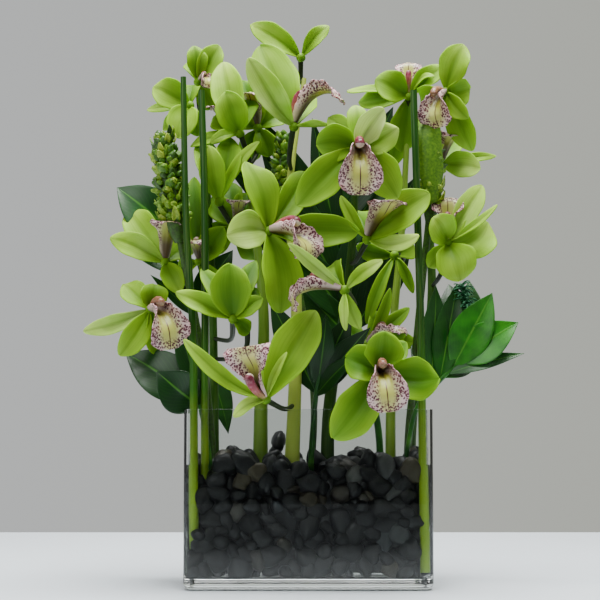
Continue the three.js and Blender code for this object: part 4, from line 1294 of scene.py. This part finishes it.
loosened = add_node(
    tree,
    "ShaderNodeVectorMath",
    {0: smudge.outputs["Color"], 1: (0.0012, 0.0012, 0.0012), 2: place.outputs["Object"]},
    operation="MULTIPLY_ADD",
)
cells = add_node(
    tree, "ShaderNodeTexVoronoi", {"Vector": loosened.outputs["Vector"], "Scale": 560, "Randomness": 1.0}
)
spot = add_node(
    tree, "ShaderNodeMapRange", {"Value": cells.outputs["Distance"], "From Min": 0.6, "From Max": 0.4}
)
zone = add_node(
    tree, "ShaderNodeMapRange", {"Value": aside, "From Min": 0.13, "From Max": 0.22}
)
front = add_node(tree, "ShaderNodeMapRange", {"Value": along, "From Min": 0.82, "From Max": 0.9})
either = add_node(
    tree,
    "ShaderNodeMath",
    {0: zone.outputs["Result"], 1: front.outputs["Result"]},
    operation="MAXIMUM",
)
inner = add_node(tree, "ShaderNodeMapRange", {"Value": along, "From Min": 0.2, "From Max": 0.34})
where = add_node(
    tree,
    "ShaderNodeMath",
    {0: either.outputs["Value"], 1: inner.outputs["Result"]},
    operation="MULTIPLY",
)
spots = add_node(
    tree,
    "ShaderNodeMath",
    {0: spot.outputs["Result"], 1: where.outputs["Value"]},
    operation="MULTIPLY",
)
spotted = add_node(
    tree,
    "ShaderNodeMix",
    {"Factor": spots.outputs["Value"], "A": pink.outputs["Result"], "B": linear("#56102a")},
    data_type="RGBA",
)
keel = add_node(
    tree, "ShaderNodeMapRange", {"Value": aside, "From Min": 0.022, "From Max": 0.006}
)
reach = add_node(tree, "ShaderNodeMapRange", {"Value": along, "From Min": 0.5, "From Max": 0.62})
stroke = add_node(
    tree,
    "ShaderNodeMath",
    {0: keel.outputs["Result"], 1: reach.outputs["Result"]},
    operation="MULTIPLY",
)
lined = add_node(
    tree,
    "ShaderNodeMix",
    {"Factor": stroke.outputs["Value"], "A": spotted.outputs["Result"], "B": linear("#4a1a1c")},
    data_type="RGBA",
)
bump = add_node(
    tree,
    "ShaderNodeBump",
    {"Height": blush.outputs["Fac"], "Strength": 0.25, "Distance": 0.0005},
)
set_sockets(
    shader,
    {
        "Base Color": lined.outputs["Result"],
        "Normal": bump.outputs["Normal"],
        "Roughness": 0.45,
        "Subsurface Weight": 0.2,
        "Subsurface Radius": (1.0, 0.6, 0.5),
        "Subsurface Scale": 0.002,
    },
)

# Column flesh: rose red on its back, paler green at its foot, with a cream cap of pollen at its tip
column_flesh, tree, shader = new_material("rose_column_flesh")
own = add_node(tree, "ShaderNodeAttribute", attribute_name="tint")
place = add_node(tree, "ShaderNodeTexCoord")
mottle = add_node(
    tree,
    "ShaderNodeTexNoise",
    {"Vector": place.outputs["Object"], "Scale": 400, "Detail": 3},
)
tone = add_node(
    tree,
    "ShaderNodeValToRGB",
    {"Fac": own.outputs["Fac"]},
    stops=[(0.0, "#8e9440"), (0.4, "#a4504e"), (0.7, "#861238"), (0.88, "#5c0820"), (0.95, "#dccab2")],
)
speck = add_node(
    tree,
    "ShaderNodeMapRange",
    {"Value": mottle.outputs["Fac"], "From Min": 0.45, "From Max": 0.8, "To Max": 0.35},
)
tan_share = add_node(tree, "ShaderNodeAttribute", attribute_name="tan")
aged = add_node(
    tree,
    "ShaderNodeMix",
    {"Factor": tan_share.outputs["Fac"], "A": tone.outputs["Color"], "B": linear("#86603a")},
    data_type="RGBA",
)
tinted = add_node(
    tree,
    "ShaderNodeMix",
    {"Factor": speck.outputs["Result"], "A": aged.outputs["Result"], "B": linear("#d9a6ae")},
    data_type="RGBA",
)
set_sockets(
    shader,
    {
        "Base Color": tinted.outputs["Result"],
        "Roughness": 0.4,
        "Subsurface Weight": 0.15,
        "Subsurface Scale": 0.002,
    },
)

# How tan the column of a bloom is, where it isn't rose
TAN_COLUMNS = {"bloom_06": 0.75, "bloom_07": 0.7, "bloom_15": 0.9, "bloom_04": 0.25, "bloom_20": 0.6}
# Lips whose front lobe is spread out flat, widest at its frilled end: half arcs and roll angles
SPREAD_LIPS = {"bloom_05": ([5, 8, 11, 14, 17, 17], [100, 120, 100, 40, 8, -30])}
# Small lips of blooms that are mostly covered: the way each faces, its size and its curl
COVERED_LIPS = {
    "bloom_11": ((30, 20), 0.5, 1),
    "bloom_21": ((10, 70), 0.8, 0.5),
    "bloom_23": ((-20, 72), 1.0, 0.5),
}

for name, at, facing, roll, (size, curl), tepals in BLOOMS:
    if size == 0 and name not in COVERED_LIPS:
        continue
    covered = size == 0
    if covered:
        facing, size, curl = COVERED_LIPS[name]
    centre = Vector(at)
    forward, up, right = bloom_frame(facing, roll)
    root = LIP_ROUTE[0][2]

    def in_bloom(aside, high, ahead):
        return centre + right * aside * size + up * high * size + forward * ((ahead - root) * size + root)

    half_arcs, rolls = SPREAD_LIPS.get(name, (LIP_HALF_ARCS, LIP_ROLLS))

    def lip_section(along, across):
        arc, roll_up = eased(LIP_STATIONS, half_arcs, along), math.radians(eased(LIP_STATIONS, rolls, along))
        roll_up = roll_up if abs(roll_up) > 0.02 else 0.02
        edge = max(0, abs(across) - 0.5) * 2
        frill = FRILL * edge**2 * math.sin(along * 52 + 9 * across) * min(1, 2 * along)
        frill *= 1.5 if along > 0.8 else 1
        keels = 0.9 * math.exp(-(((abs(across) - 0.12) / 0.05) ** 2))
        keels *= math.sin(math.pi * min(1, along / 0.8)) ** 2
        aside = arc / roll_up * math.sin(roll_up * across)
        return size * aside, size * (arc / roll_up * (1 - math.cos(roll_up * across)) + frill + keels)

    bent = []
    for aside, high, ahead in LIP_ROUTE:
        fall = max(0, -LIP_FALL - high) * (1 - curl)
        bent.append(in_bloom(aside, high + fall, ahead + fall * LIP_LIFT))
    route = smooth_route(bent)
    face = (up + forward).normalized()
    trough = blade("trough", route, face, lip_section, LIP_COLUMNS, LIP_ROWS, even=True)
    trough.data.materials.append(lip_flesh)
    give_flesh(trough, LIP_THICKNESS)
    stalk = smooth_route([in_bloom(*stop) for stop in COLUMN_ROUTE])
    column = stem_along("column", stalk, lambda share: size * (2.1 + 0.9 * share), 14, 14)
    number_corners(column, "tint", lambda spot: 0.9 * ((spot - centre).dot(forward) - root) / (22 * size))
    column.data.materials.append(column_flesh)
    bpy.ops.object.select_all(action="DESELECT")
    cap_place = in_bloom(*CAP_PLACE)
    bpy.ops.mesh.primitive_uv_sphere_add(
        segments=16, ring_count=10, radius=CAP_RADIUS * size * MM, location=cap_place * MM
    )
    cap = start_piece("pollen_cap")
    bpy.ops.object.shade_smooth()
    number_corners(cap, "tint", lambda spot: 1.0 if (spot - cap_place).dot(up) < -0.4 * size else 0.84)
    cap.data.materials.append(column_flesh)
    for item in (column, cap):
        number_all(item, "tan", TAN_COLUMNS.get(name, 0))
    made = join_pieces([trough, column, cap], f"{name}_lip_and_column")
    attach(made, "root")
    if not covered:
        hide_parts(f"{name}_lip")


# Orchid stems: six stout fleshy green stems, cut off below and standing among the pebbles, with a dark
# slender pedicel grown from the stem to the back of each bloom. Each has its way, its radius at the foot
# and at the top, and the blooms that it carries with the height at which their pedicels leave it.
ORCHID_STEMS = [
    (
        [(-79, 8, 24), (-80, 8, 146), (-82, 18, 230), (-86, 30, 310), (-94, 28, 408)], 4.8, 2.4,
        {"bloom_07": 180, "bloom_09": 206, "bloom_22": 236, "bloom_08": 240, "bloom_10": 384, "bloom_11": 400},
    ),
    (
        [(-40, 2, 24), (-40, 2, 140), (-38, 4, 230), (-48, 10, 320), (-52, 14, 362)], 7.7, 2.6,
        {"bloom_13": 290, "bloom_21": 292, "bloom_12": 350, "bloom_23": 355},
    ),
    (
        [(-17, -20, 24), (-11, -20, 166), (-10, -14, 240), (-16, 10, 330), (-3, 28, 436)], 7.2, 2.0,
        {"bloom_05": 148, "bloom_03": 262, "bloom_01": 352, "bloom_24": 430},
    ),
    (
        [(17, 6, 24), (18, 8, 146), (30, 8, 220), (38, 0, 290), (40, -16, 336)], 7.0, 2.8,
        {"bloom_20": 186, "bloom_04": 226, "bloom_18": 268, "bloom_02": 330},
    ),
    (
        [(70, 2, 24), (70, 2, 146), (74, 20, 220), (82, 30, 300), (88, 30, 394)], 5.0, 2.4,
        {"bloom_06": 160, "bloom_19": 270, "bloom_14": 388},
    ),
    (
        [(86, 22, 24), (90, 22, 146), (106, 16, 230), (106, 26, 320), (106, 6, 392)], 6.0, 2.4,
        {"bloom_17": 250, "bloom_16": 322, "bloom_15": 386},
    ),
]
PEDICEL_RADIUS = 2.1
# Pedicels that sag before they rise to their bloom: the place of the lowest point
SAGGING_PEDICELS = {"bloom_09": (-66, -10, 204)}
# Bare pedicels, whose bloom has gone: the stem, the height at which they leave it and the way they take
BARE_PEDICELS = [(1, 188, [(-60, -10, 189), (-51, -30, 198), (-50, -38, 211)])]

# Stem skin: satin green with pale lengthwise streaks; the pedicels are darker, and the feet yellower
stem_skin, tree, shader = new_material("satin_orchid_stem")
place = add_node(tree, "ShaderNodeTexCoord")
own = add_node(tree, "ShaderNodeAttribute", attribute_name="tint")
tone = add_node(
    tree,
    "ShaderNodeValToRGB",
    {"Fac": own.outputs["Fac"]},
    stops=[(0.0, "#1a2408"), (0.15, "#24400e"), (0.35, "#356018"), (0.65, "#7f9f35"), (1.0, "#a9b84a")],
)
fibre = add_node(tree, "ShaderNodeMapping", {"Vector": place.outputs["Object"], "Scale": (500, 500, 12)})
grain = add_node(tree, "ShaderNodeTexNoise", {"Vector": fibre.outputs["Vector"], "Scale": 1.0, "Detail": 3})
pale = add_node(
    tree,
    "ShaderNodeMapRange",
    {"Value": grain.outputs["Fac"], "From Min": 0.45, "From Max": 0.8, "To Max": 0.4},
)
streak = add_node(
    tree,
    "ShaderNodeMath",
    {0: pale.outputs["Result"], 1: own.outputs["Fac"]},
    operation="MULTIPLY",
)
streaked = add_node(
    tree,
    "ShaderNodeMix",
    {"Factor": streak.outputs["Value"], "A": tone.outputs["Color"], "B": linear("#a3b55e")},
    data_type="RGBA",
)
bump = add_node(
    tree,
    "ShaderNodeBump",
    {"Height": grain.outputs["Fac"], "Strength": 0.25, "Distance": 0.0004},
)
set_sockets(
    shader,
    {
        "Base Color": streaked.outputs["Result"],
        "Normal": bump.outputs["Normal"],
        "Roughness": 0.45,
        "Specular IOR Level": 0.2,
    },
)

STEM_TINTS = [0.3, 0.5, 0.95, 0.2, 0.62, 0.25]
bloom_places = {
    name: (Vector(at), bloom_frame(facing, roll)[0]) for name, at, facing, roll, lip, tepals in BLOOMS
}

for number, (points, foot, top, carried) in enumerate(ORCHID_STEMS, 1):
    route = smooth_route(points)
    stem = stem_along("stem", route, lambda share: foot + (top - foot) * share, 60, 18)
    number_all(stem, "tint", STEM_TINTS[number - 1])
    made = [stem]
    ways = []
    for name, height in carried.items():
        centre, forward = bloom_places[name]
        start = route.at_height(height)
        bend = SAGGING_PEDICELS.get(name, start.lerp(centre, 0.5) - forward * 9)
        ways.append([start, bend, centre - forward * 2])
    for stem_number, height, way in BARE_PEDICELS:
        if stem_number == number:
            ways.append([route.at_height(height), *way])
    for way in ways:
        stalk = stem_along(
            "pedicel",
            smooth_route(way),
            lambda share: PEDICEL_RADIUS * (0.85 + 0.35 * share),
            20,
            10,
        )
        number_all(stalk, "tint", 0.02)
        made.append(stalk)
    stem = join_pieces(made, f"orchid_stem_and_pedicels_{number}")
    stem.data.materials.clear()
    stem.data.materials.append(stem_skin)
    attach(stem, "root")
    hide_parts(f"orchid_stem_{number}")


# Leaf sprays: woody green stalks with smooth, glossy, dark leaves, folded a little along the midrib. Each
# has its stalk's way and radius, and its leaves: the height of the foot, the tip, the width and the facing.
LEAF_SPRAYS = {
    "leaf_spray_left_high": (
        [(-80, 28, 24), (-82, 30, 160), (-104, 24, 250), (-116, 20, 300)],
        2,
        [
            (296, (-166, 20, 338), 44, (0.1, -1, 0.15)),
            (262, (-164, 30, 293), 22, (0, -1, 0.5)),
            (225, (-134, 0, 260), 11, (0, -1, 0.3)),
            (230, (-66, 44, 286), 28, (0, -1, 0.3)),
            (182, (-68, 14, 125), 23, (0.5, -1, 0)),
        ],
    ),
    "leaf_spray_left_low": (
        [(-76, -26, 24), (-82, -26, 110), (-90, -24, 150), (-98, -18, 190)],
        2,
        [
            (152, (-154, -8, 193), 42, (0.2, -1, 0.2)),
            (160, (-109, -12, 222), 22, (0.1, -1, 0)),
            (147, (-125, -34, 177), 38, (-0.2, -1, 0.1)),
        ],
    ),
    "leaf_spray_centre": (
        [(-1, -8, 24), (4, -8, 128), (7, -14, 160), (10, -20, 176)],
        3.4,
        [
            (158, (51, -38, 213), 26, (-0.2, -1, 0.3)),
            (156, (39, -40, 190), 20, (-0.2, -1, 0.6)),
            (162, (15, -34, 224), 22, (0.2, -1, 0)),
            (160, (0, -30, 206), 12, (0.2, -1, 0)),
            (170, (36, -26, 226), 24, (0, -1, 0)),
            (158, (-32, -6, 238), 28, (0, -1, 0)),
        ],
    ),
    "leaf_spray_right": (
        [(74, -18, 24), (82, -20, 110), (92, -22, 150), (112, -22, 172), (136, -18, 196)],
        2,
        [
            (152, (108, -10, 250), 26, (0.2, -1, 0)),
            (162, (126, -8, 252), 26, (0, -1, 0)),
            (176, (154, -22, 243), 35, (0, -1, 0.1)),
            (182, (175, -26, 218), 34, (0, -1, 0.3)),
            (170, (179, -30, 192), 14, (0, -1, 0.5)),
            (166, (142, 2, 182), 16, (0, -1, 0.6)),
            (194, (138, 6, 256), 26, (0, -1, 0)),
            (190, (121, 12, 253), 34, (0, -1, 0)),
            (158, (87, -2, 204), 18, (0.1, -1, 0.1)),
        ],
    ),
    "leaf_spray_back": (
        [(62, 34, 24), (61, 36, 130), (44, 44, 200), (18, 46, 330)],
        3.6,
        [
            (220, (-22, 46, 300), 32, (0, -1, 0)),
            (215, (92, 44, 300), 34, (0, -1, 0)),
            (290, (-40, 42, 402), 28, (0, -1, 0)),
            (300, (76, 42, 414), 36, (0, -1, 0)),
            (320, (40, 38, 372), 26, (0, -1, 0)),
            (270, (-80, 48, 372), 26, (0, -1, 0)),
            (240, (96, 46, 352), 34, (0, -1, 0)),
            (250, (-70, 48, 318), 26, (0, -1, 0)),
            (200, (-14, 50, 262), 30, (0, -1, 0)),
            (240, (-42, 45, 377), 36, (0, -1, 0)),
            (286, (4, 40, 403), 24, (0, -1, 0)),
            (280, (84, 46, 386), 32, (0, -1, 0)),
            (225, (36, 42, 305), 30, (0, -1, 0)),
        ],
    ),
}
LEAF_THICKNESS = 0.7
LEAF_STALK_RADIUS = 2.0

# Leaf skin: glossy dark green with a paler midrib and side veins that leave it at a slant
leaf_skin, tree, shader = new_material("glossy_dark_leaf")
sheet, along, aside = place_on_blade(tree)
place = add_node(tree, "ShaderNodeTexCoord")
own = add_node(tree, "ShaderNodeAttribute", attribute_name="tint")
cloud = add_node(tree, "ShaderNodeTexNoise", {"Vector": place.outputs["Object"], "Scale": 60, "Detail": 3})
mood = add_node(
    tree,
    "ShaderNodeMath",
    {0: cloud.outputs["Fac"], 1: own.outputs["Fac"]},
    operation="MULTIPLY",
)
tone = add_node(
    tree,
    "ShaderNodeValToRGB",
    {"Fac": mood.outputs["Value"]},
    stops=[(0.0, "#06240a"), (0.3, "#0f480a"), (0.7, "#2a7a0c")],
)
rib = add_node(
    tree, "ShaderNodeMapRange", {"Value": aside, "From Min": 0.035, "From Max": 0.012, "To Max": 0.6}
)
slant = add_node(
    tree, "ShaderNodeMath", {0: aside, 1: -0.9, 2: along}, operation="MULTIPLY_ADD"
)
rows = add_node(tree, "ShaderNodeMath", {0: slant.outputs["Value"], 1: 75}, operation="MULTIPLY")
wave = add_node(tree, "ShaderNodeMath", {0: rows.outputs["Value"]}, operation="SINE")
side_vein = add_node(
    tree,
    "ShaderNodeMapRange",
    {"Value": wave.outputs["Value"], "From Min": 0.8, "From Max": 1.0, "To Max": 0.08},
)
veins = add_node(
    tree,
    "ShaderNodeMath",
    {0: rib.outputs["Result"], 1: side_vein.outputs["Result"]},
    operation="MAXIMUM",
)
veined = add_node(
    tree,
    "ShaderNodeMix",
    {"Factor": veins.outputs["Value"], "A": tone.outputs["Color"], "B": linear("#4f8f24")},
    data_type="RGBA",
)
bump = add_node(
    tree,
    "ShaderNodeBump",
    {"Height": veins.outputs["Value"], "Strength": 0.4, "Distance": 0.0004},
)
set_sockets(
    shader,
    {
        "Base Color": veined.outputs["Result"],
        "Normal": bump.outputs["Normal"],
        "Roughness": 0.36,
        "Specular IOR Level": 0.35,
    },
)

# Least and most lightness of the leaves of a spray
LEAF_TINTS = {
    "leaf_spray_centre": (0.0, 0.3),
    "leaf_spray_back": (0.0, 0.4),
    "leaf_spray_left_low": (0.1, 0.6),
    "leaf_spray_left_high": (0.3, 0.8),
    "leaf_spray_right": (0.4, 1.2),
}
leaf_chance = random.Random(9)


def leaf_half_width(width, along):
    return max(0.25 + 0.9 * (1 - along), width / 2 * math.sin(math.pi * along**0.85))


for name, (stalk, thick, leaves) in LEAF_SPRAYS.items():
    route = smooth_route(stalk)
    blades = []
    for height, tip, width, face in leaves:
        foot = route.at_height(height)
        facing = Vector(face).normalized()
        end = Vector(tip)
        control = foot.lerp(end, 0.5) + facing * width * 0.3
        phase = leaf_chance.uniform(0, 6)

        def leaf_section(along, across):
            fold = width * 0.1 * math.sin(math.pi * along) * abs(across) ** 1.4
            wave = 0.5 * across * math.sin(phase + 8 * along) * math.sin(math.pi * along)
            return across * leaf_half_width(width, along), fold + wave

        leaf = blade("leaf", bezier_route(foot, control, end), facing, leaf_section, 8, 16)
        number_all(leaf, "tint", leaf_chance.uniform(*LEAF_TINTS[name]))
        blades.append(leaf)
    leaves_made = join_pieces(blades, "leaves")
    give_flesh(leaves_made, LEAF_THICKNESS)
    twig = stem_along("twig", route, lambda share: thick + (LEAF_STALK_RADIUS - thick) * share, 30, 10)
    number_all(twig, "tint", 0.8)
    spray = join_pieces([leaves_made, twig], f"{name}_leaves")
    spray.data.materials.clear()
    spray.data.materials.append(leaf_skin)
    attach(spray, "root")
    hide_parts(name)


# Curled sprig: a short side shoot of the right spray, set all round with fine curled blue-green leaflets
# that stand close together towards its end.
SPRIG_WAY = [(135, -17, 194), (136, -14, 222), (129, -12, 250)]
LEAFLET_COUNT = 90
LEAFLET_THICKNESS = 0.5

sprig_skin, tree, shader = new_material("blue_green_curled_leaflet")
place = add_node(tree, "ShaderNodeTexCoord")
cloud = add_node(tree, "ShaderNodeTexNoise", {"Vector": place.outputs["Object"], "Scale": 220, "Detail": 3})
tone = add_node(
    tree,
    "ShaderNodeValToRGB",
    {"Fac": cloud.outputs["Fac"]},
    stops=[(0.3, "#0f4a24"), (0.5, "#2c7a4c"), (0.7, "#6cb088")],
)
bump = add_node(
    tree,
    "ShaderNodeBump",
    {"Height": cloud.outputs["Fac"], "Strength": 0.2, "Distance": 0.0003},
)
set_sockets(
    shader,
    {
        "Base Color": tone.outputs["Color"],
        "Normal": bump.outputs["Normal"],
        "Roughness": 0.55,
    },
)

sprig_chance = random.Random(12)
sprig_route = smooth_route(SPRIG_WAY)
leaflets = [stem_along("sprig_stalk", sprig_route, lambda share: 1.2 - 0.5 * share, 20, 8)]
for index in range(LEAFLET_COUNT):
    foot = sprig_route.at(0.62 + 0.38 * index / LEAFLET_COUNT)
    turn = index * GOLDEN_TURN
    spoke = Vector((math.cos(turn), math.sin(turn), sprig_chance.uniform(-0.3, 0.6)))
    end = foot + spoke.normalized() * sprig_chance.uniform(5, 11)
    control = foot.lerp(end, 0.6) + Vector((0, 0, sprig_chance.uniform(2, 5)))

    def leaflet_section(along, across):
        return across * (0.2 + 0.9 * math.sin(math.pi * along)), 0.4 * across**2

    leaflet = blade("leaflet", bezier_route(foot, control, end, 8), Vector((0, 0, 1)), leaflet_section, 2, 6)
    give_flesh(leaflet, LEAFLET_THICKNESS, -1, rounded=False)
    leaflets.append(leaflet)
sprig = join_pieces(leaflets, "curled_sprig")
sprig.data.materials.clear()
sprig.data.materials.append(sprig_skin)
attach(sprig, "root")


# Pebbles: a few hundred smooth black river stones, 10 to 28 mm long, poured round the stems; they lie
# against the glass on every side and heap up between the stems.
BED_TOP = 98.0
STONE_SIZES = (4.4, 9.2)
STONE_COUNT = 620
HEAPS = [(-27, 14, 106), (-25, 15, 118), (42, 20, 105), (-62, 24, 103)]
HALF_LENGTH = (VASE_LENGTH / 2 - WALL) / MM
HALF_DEPTH = (VASE_DEPTH / 2 - WALL) / MM

# Patterns for the hidden stones; as many again, with finer faces, are for those that are seen
STONE_PATTERN_COUNT = 6

stone_chance = random.Random(31)
stone_patterns = []
for number in range(2 * STONE_PATTERN_COUNT):
    bpy.ops.object.select_all(action="DESELECT")
    bpy.ops.mesh.primitive_ico_sphere_add(subdivisions=2 if number < STONE_PATTERN_COUNT else 3, radius=1)
    pattern = start_piece(f"stone_pattern_{number}")
    for corner in pattern.data.vertices:
        lump = noise.noise(corner.co * 0.9 + Vector((7.3 * number, 1.7, 3.1)))
        chip = noise.noise(corner.co * 2.1 + Vector((3.3 * number, 0.4, 8.1)))
        corner.co = corner.co * (1 + 0.3 * lump + 0.16 * chip)
    bpy.ops.object.shade_smooth()
    stone_patterns.append(pattern)

# Reeds that show through the front glass, and the height down to which they are seen
SHOWN_REEDS = {1: 46, 3: 12}
# Stems that the stones keep off: the route of each and its radius
STEM_ROOM = [(smooth_route(points), foot + 0.3) for points, foot, top in REEDS]
STEM_ROOM += [(smooth_route(points), foot + 0.5) for points, foot, top, carried in ORCHID_STEMS]


def settle(spots):
    """Pushes stones apart until they only touch, and keeps them inside the glass and off the stems."""
    for step in range(45):
        tree = kdtree.KDTree(len(spots))
        for index, (spot, size) in enumerate(spots):
            tree.insert(spot, index)
        tree.balance()
        shifts = [Vector() for spot in spots]
        for index, (spot, size) in enumerate(spots):
            for other_spot, other, gap in tree.find_range(spot, 2 * STONE_SIZES[1]):
                room = 0.84 * (size + spots[other][1])
                if other != index and gap < room:
                    away = (spot - other_spot) / max(gap, 0.01)
                    shifts[index] += away * (room - gap) * 0.4
        for index, (spot, size) in enumerate(spots):
            spot += shifts[index]
            for stem_route, radius in STEM_ROOM:
                stem = stem_route.at_height(spot.z)
                flat = Vector((spot.x - stem.x, spot.y - stem.y, 0))
                room = radius + size * 0.72
                if flat.length < room:
                    spot += flat.normalized() * (room - flat.length)
            reach = size * 0.8
            spot.x = min(max(spot.x, reach - HALF_LENGTH), HALF_LENGTH - reach)
            spot.y = min(max(spot.y, reach - HALF_DEPTH), HALF_DEPTH - reach)
            spot.z = min(max(spot.z, BASE_THICKNESS / MM + reach), BED_TOP + 4)


spots = []
while len(spots) < STONE_COUNT:
    spot = Vector(
        (
            stone_chance.uniform(-HALF_LENGTH, HALF_LENGTH),
            stone_chance.uniform(-HALF_DEPTH, HALF_DEPTH),
            stone_chance.uniform(BASE_THICKNESS / MM, BED_TOP),
        )
    )
    near_glass = min(HALF_LENGTH - abs(spot.x), HALF_DEPTH - abs(spot.y), BED_TOP - spot.z)
    if near_glass < 17:
        spots.append((spot, stone_chance.uniform(*STONE_SIZES)))
settle(spots)
spots += [(Vector(heap), 8.0) for heap in HEAPS]


def hides_reed(spot, size):
    """Whether a stone would stand between the glass and a reed that shows through it."""
    for number, lowest_seen in SHOWN_REEDS.items():
        points, foot, top = REEDS[number - 1]
        here = smooth_route(points).at_height(spot.z)
        beside = abs(spot.x - here.x) < foot + size * 0.75
        if beside and spot.y < here.y + 3 and spot.z - size * 0.7 > lowest_seen:
            return True
    return False


spots = [(spot, size) for spot, size in spots if not hides_reed(spot, size)]

stones = []
for index, (spot, size) in enumerate(spots):
    turn = Euler([stone_chance.uniform(0, math.tau) for axis in range(3)]).to_matrix().to_4x4()
    shape = Vector((stone_chance.uniform(1.05, 1.45), 0.98, stone_chance.uniform(0.6, 0.85))) * size * 1.08
    beside_glass = HALF_DEPTH - abs(spot.y) < size
    if beside_glass:
        turn = Euler((math.pi / 2, stone_chance.uniform(0, math.tau), 0)).to_matrix().to_4x4()
    elif HALF_LENGTH - abs(spot.x) < size:
        turn = Euler((stone_chance.uniform(0, math.tau), math.pi / 2, 0)).to_matrix().to_4x4()
    matrix = Matrix.Translation(spot * MM) @ turn @ Matrix.Diagonal([*(shape * MM), 1])
    seen = spot.y < size - HALF_DEPTH + 3 or spot.z > BED_TOP - 8
    kind = index % STONE_PATTERN_COUNT + (STONE_PATTERN_COUNT if seen else 0)
    stone = copy_of(stone_patterns[kind], matrix)
    for corner in stone.data.vertices:
        corner.co.x = min(max(corner.co.x, -(HALF_LENGTH - 0.3) * MM), (HALF_LENGTH - 0.3) * MM)
        corner.co.y = min(max(corner.co.y, -(HALF_DEPTH - 0.3) * MM), (HALF_DEPTH - 0.3) * MM)
        corner.co.z = max(corner.co.z, BASE_THICKNESS + 0.3 * MM)
    number_all(stone, "tint", stone_chance.random())
    stones.append(stone)
for pattern in stone_patterns:
    bpy.data.objects.remove(pattern)

# Packed middle of the bed, behind the stones that can be seen
bpy.ops.object.select_all(action="DESELECT")
bpy.ops.mesh.primitive_cube_add(size=1, location=(0, 0, (BED_TOP - 9 + 14) / 2 * MM))
bpy.context.active_object.scale = (
    (HALF_LENGTH - 10) * 2 * MM,
    (HALF_DEPTH - 10) * 2 * MM,
    (BED_TOP - 9 - 14) * MM,
)
packed = start_piece("packed_middle")
bpy.ops.object.mode_set(mode="EDIT")
bpy.ops.mesh.select_all(action="SELECT")
bpy.ops.mesh.subdivide(number_cuts=9)
bpy.ops.object.mode_set(mode="OBJECT")
for corner in packed.data.vertices:
    corner.co += corner.normal * noise.noise(corner.co * 110) * 0.006
bpy.ops.object.shade_smooth()
number_all(packed, "tint", 0.1)
bed = join_pieces([*stones, packed], "black_pebbles")
bed.data.materials.clear()

# River stone: black and wet, tumbled smooth, some browner or greyer, with fine pale flecks
river_stone, tree, shader = new_material("wet_black_river_stone")
place = add_node(tree, "ShaderNodeTexCoord")
own = add_node(tree, "ShaderNodeAttribute", attribute_name="tint")
tone = add_node(
    tree,
    "ShaderNodeValToRGB",
    {"Fac": own.outputs["Fac"]},
    stops=[
        (0.0, "#08090a"),
        (0.5, "#0f1113"),
        (0.8, "#17181a"),
        (0.9, "#2a2620"),
        (0.96, "#3c3626"),
        (1.0, "#3a3e42"),
    ],
)
fleck = add_node(tree, "ShaderNodeTexNoise", {"Vector": place.outputs["Object"], "Scale": 900, "Detail": 4})
dots = add_node(
    tree,
    "ShaderNodeMapRange",
    {"Value": fleck.outputs["Fac"], "From Min": 0.55, "From Max": 0.8, "To Max": 0.3},
)
flecked = add_node(
    tree,
    "ShaderNodeMix",
    {"Factor": dots.outputs["Result"], "A": tone.outputs["Color"], "B": linear("#55565a")},
    data_type="RGBA",
)
bump = add_node(
    tree,
    "ShaderNodeBump",
    {"Height": fleck.outputs["Fac"], "Strength": 0.2, "Distance": 0.0003},
)
set_sockets(
    shader,
    {
        "Base Color": flecked.outputs["Result"],
        "Normal": bump.outputs["Normal"],
        "Roughness": 0.45,
        "Specular IOR Level": 0.3,
    },
)
bed.data.materials.append(river_stone)
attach(bed, "root")
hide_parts("pebble_bed")
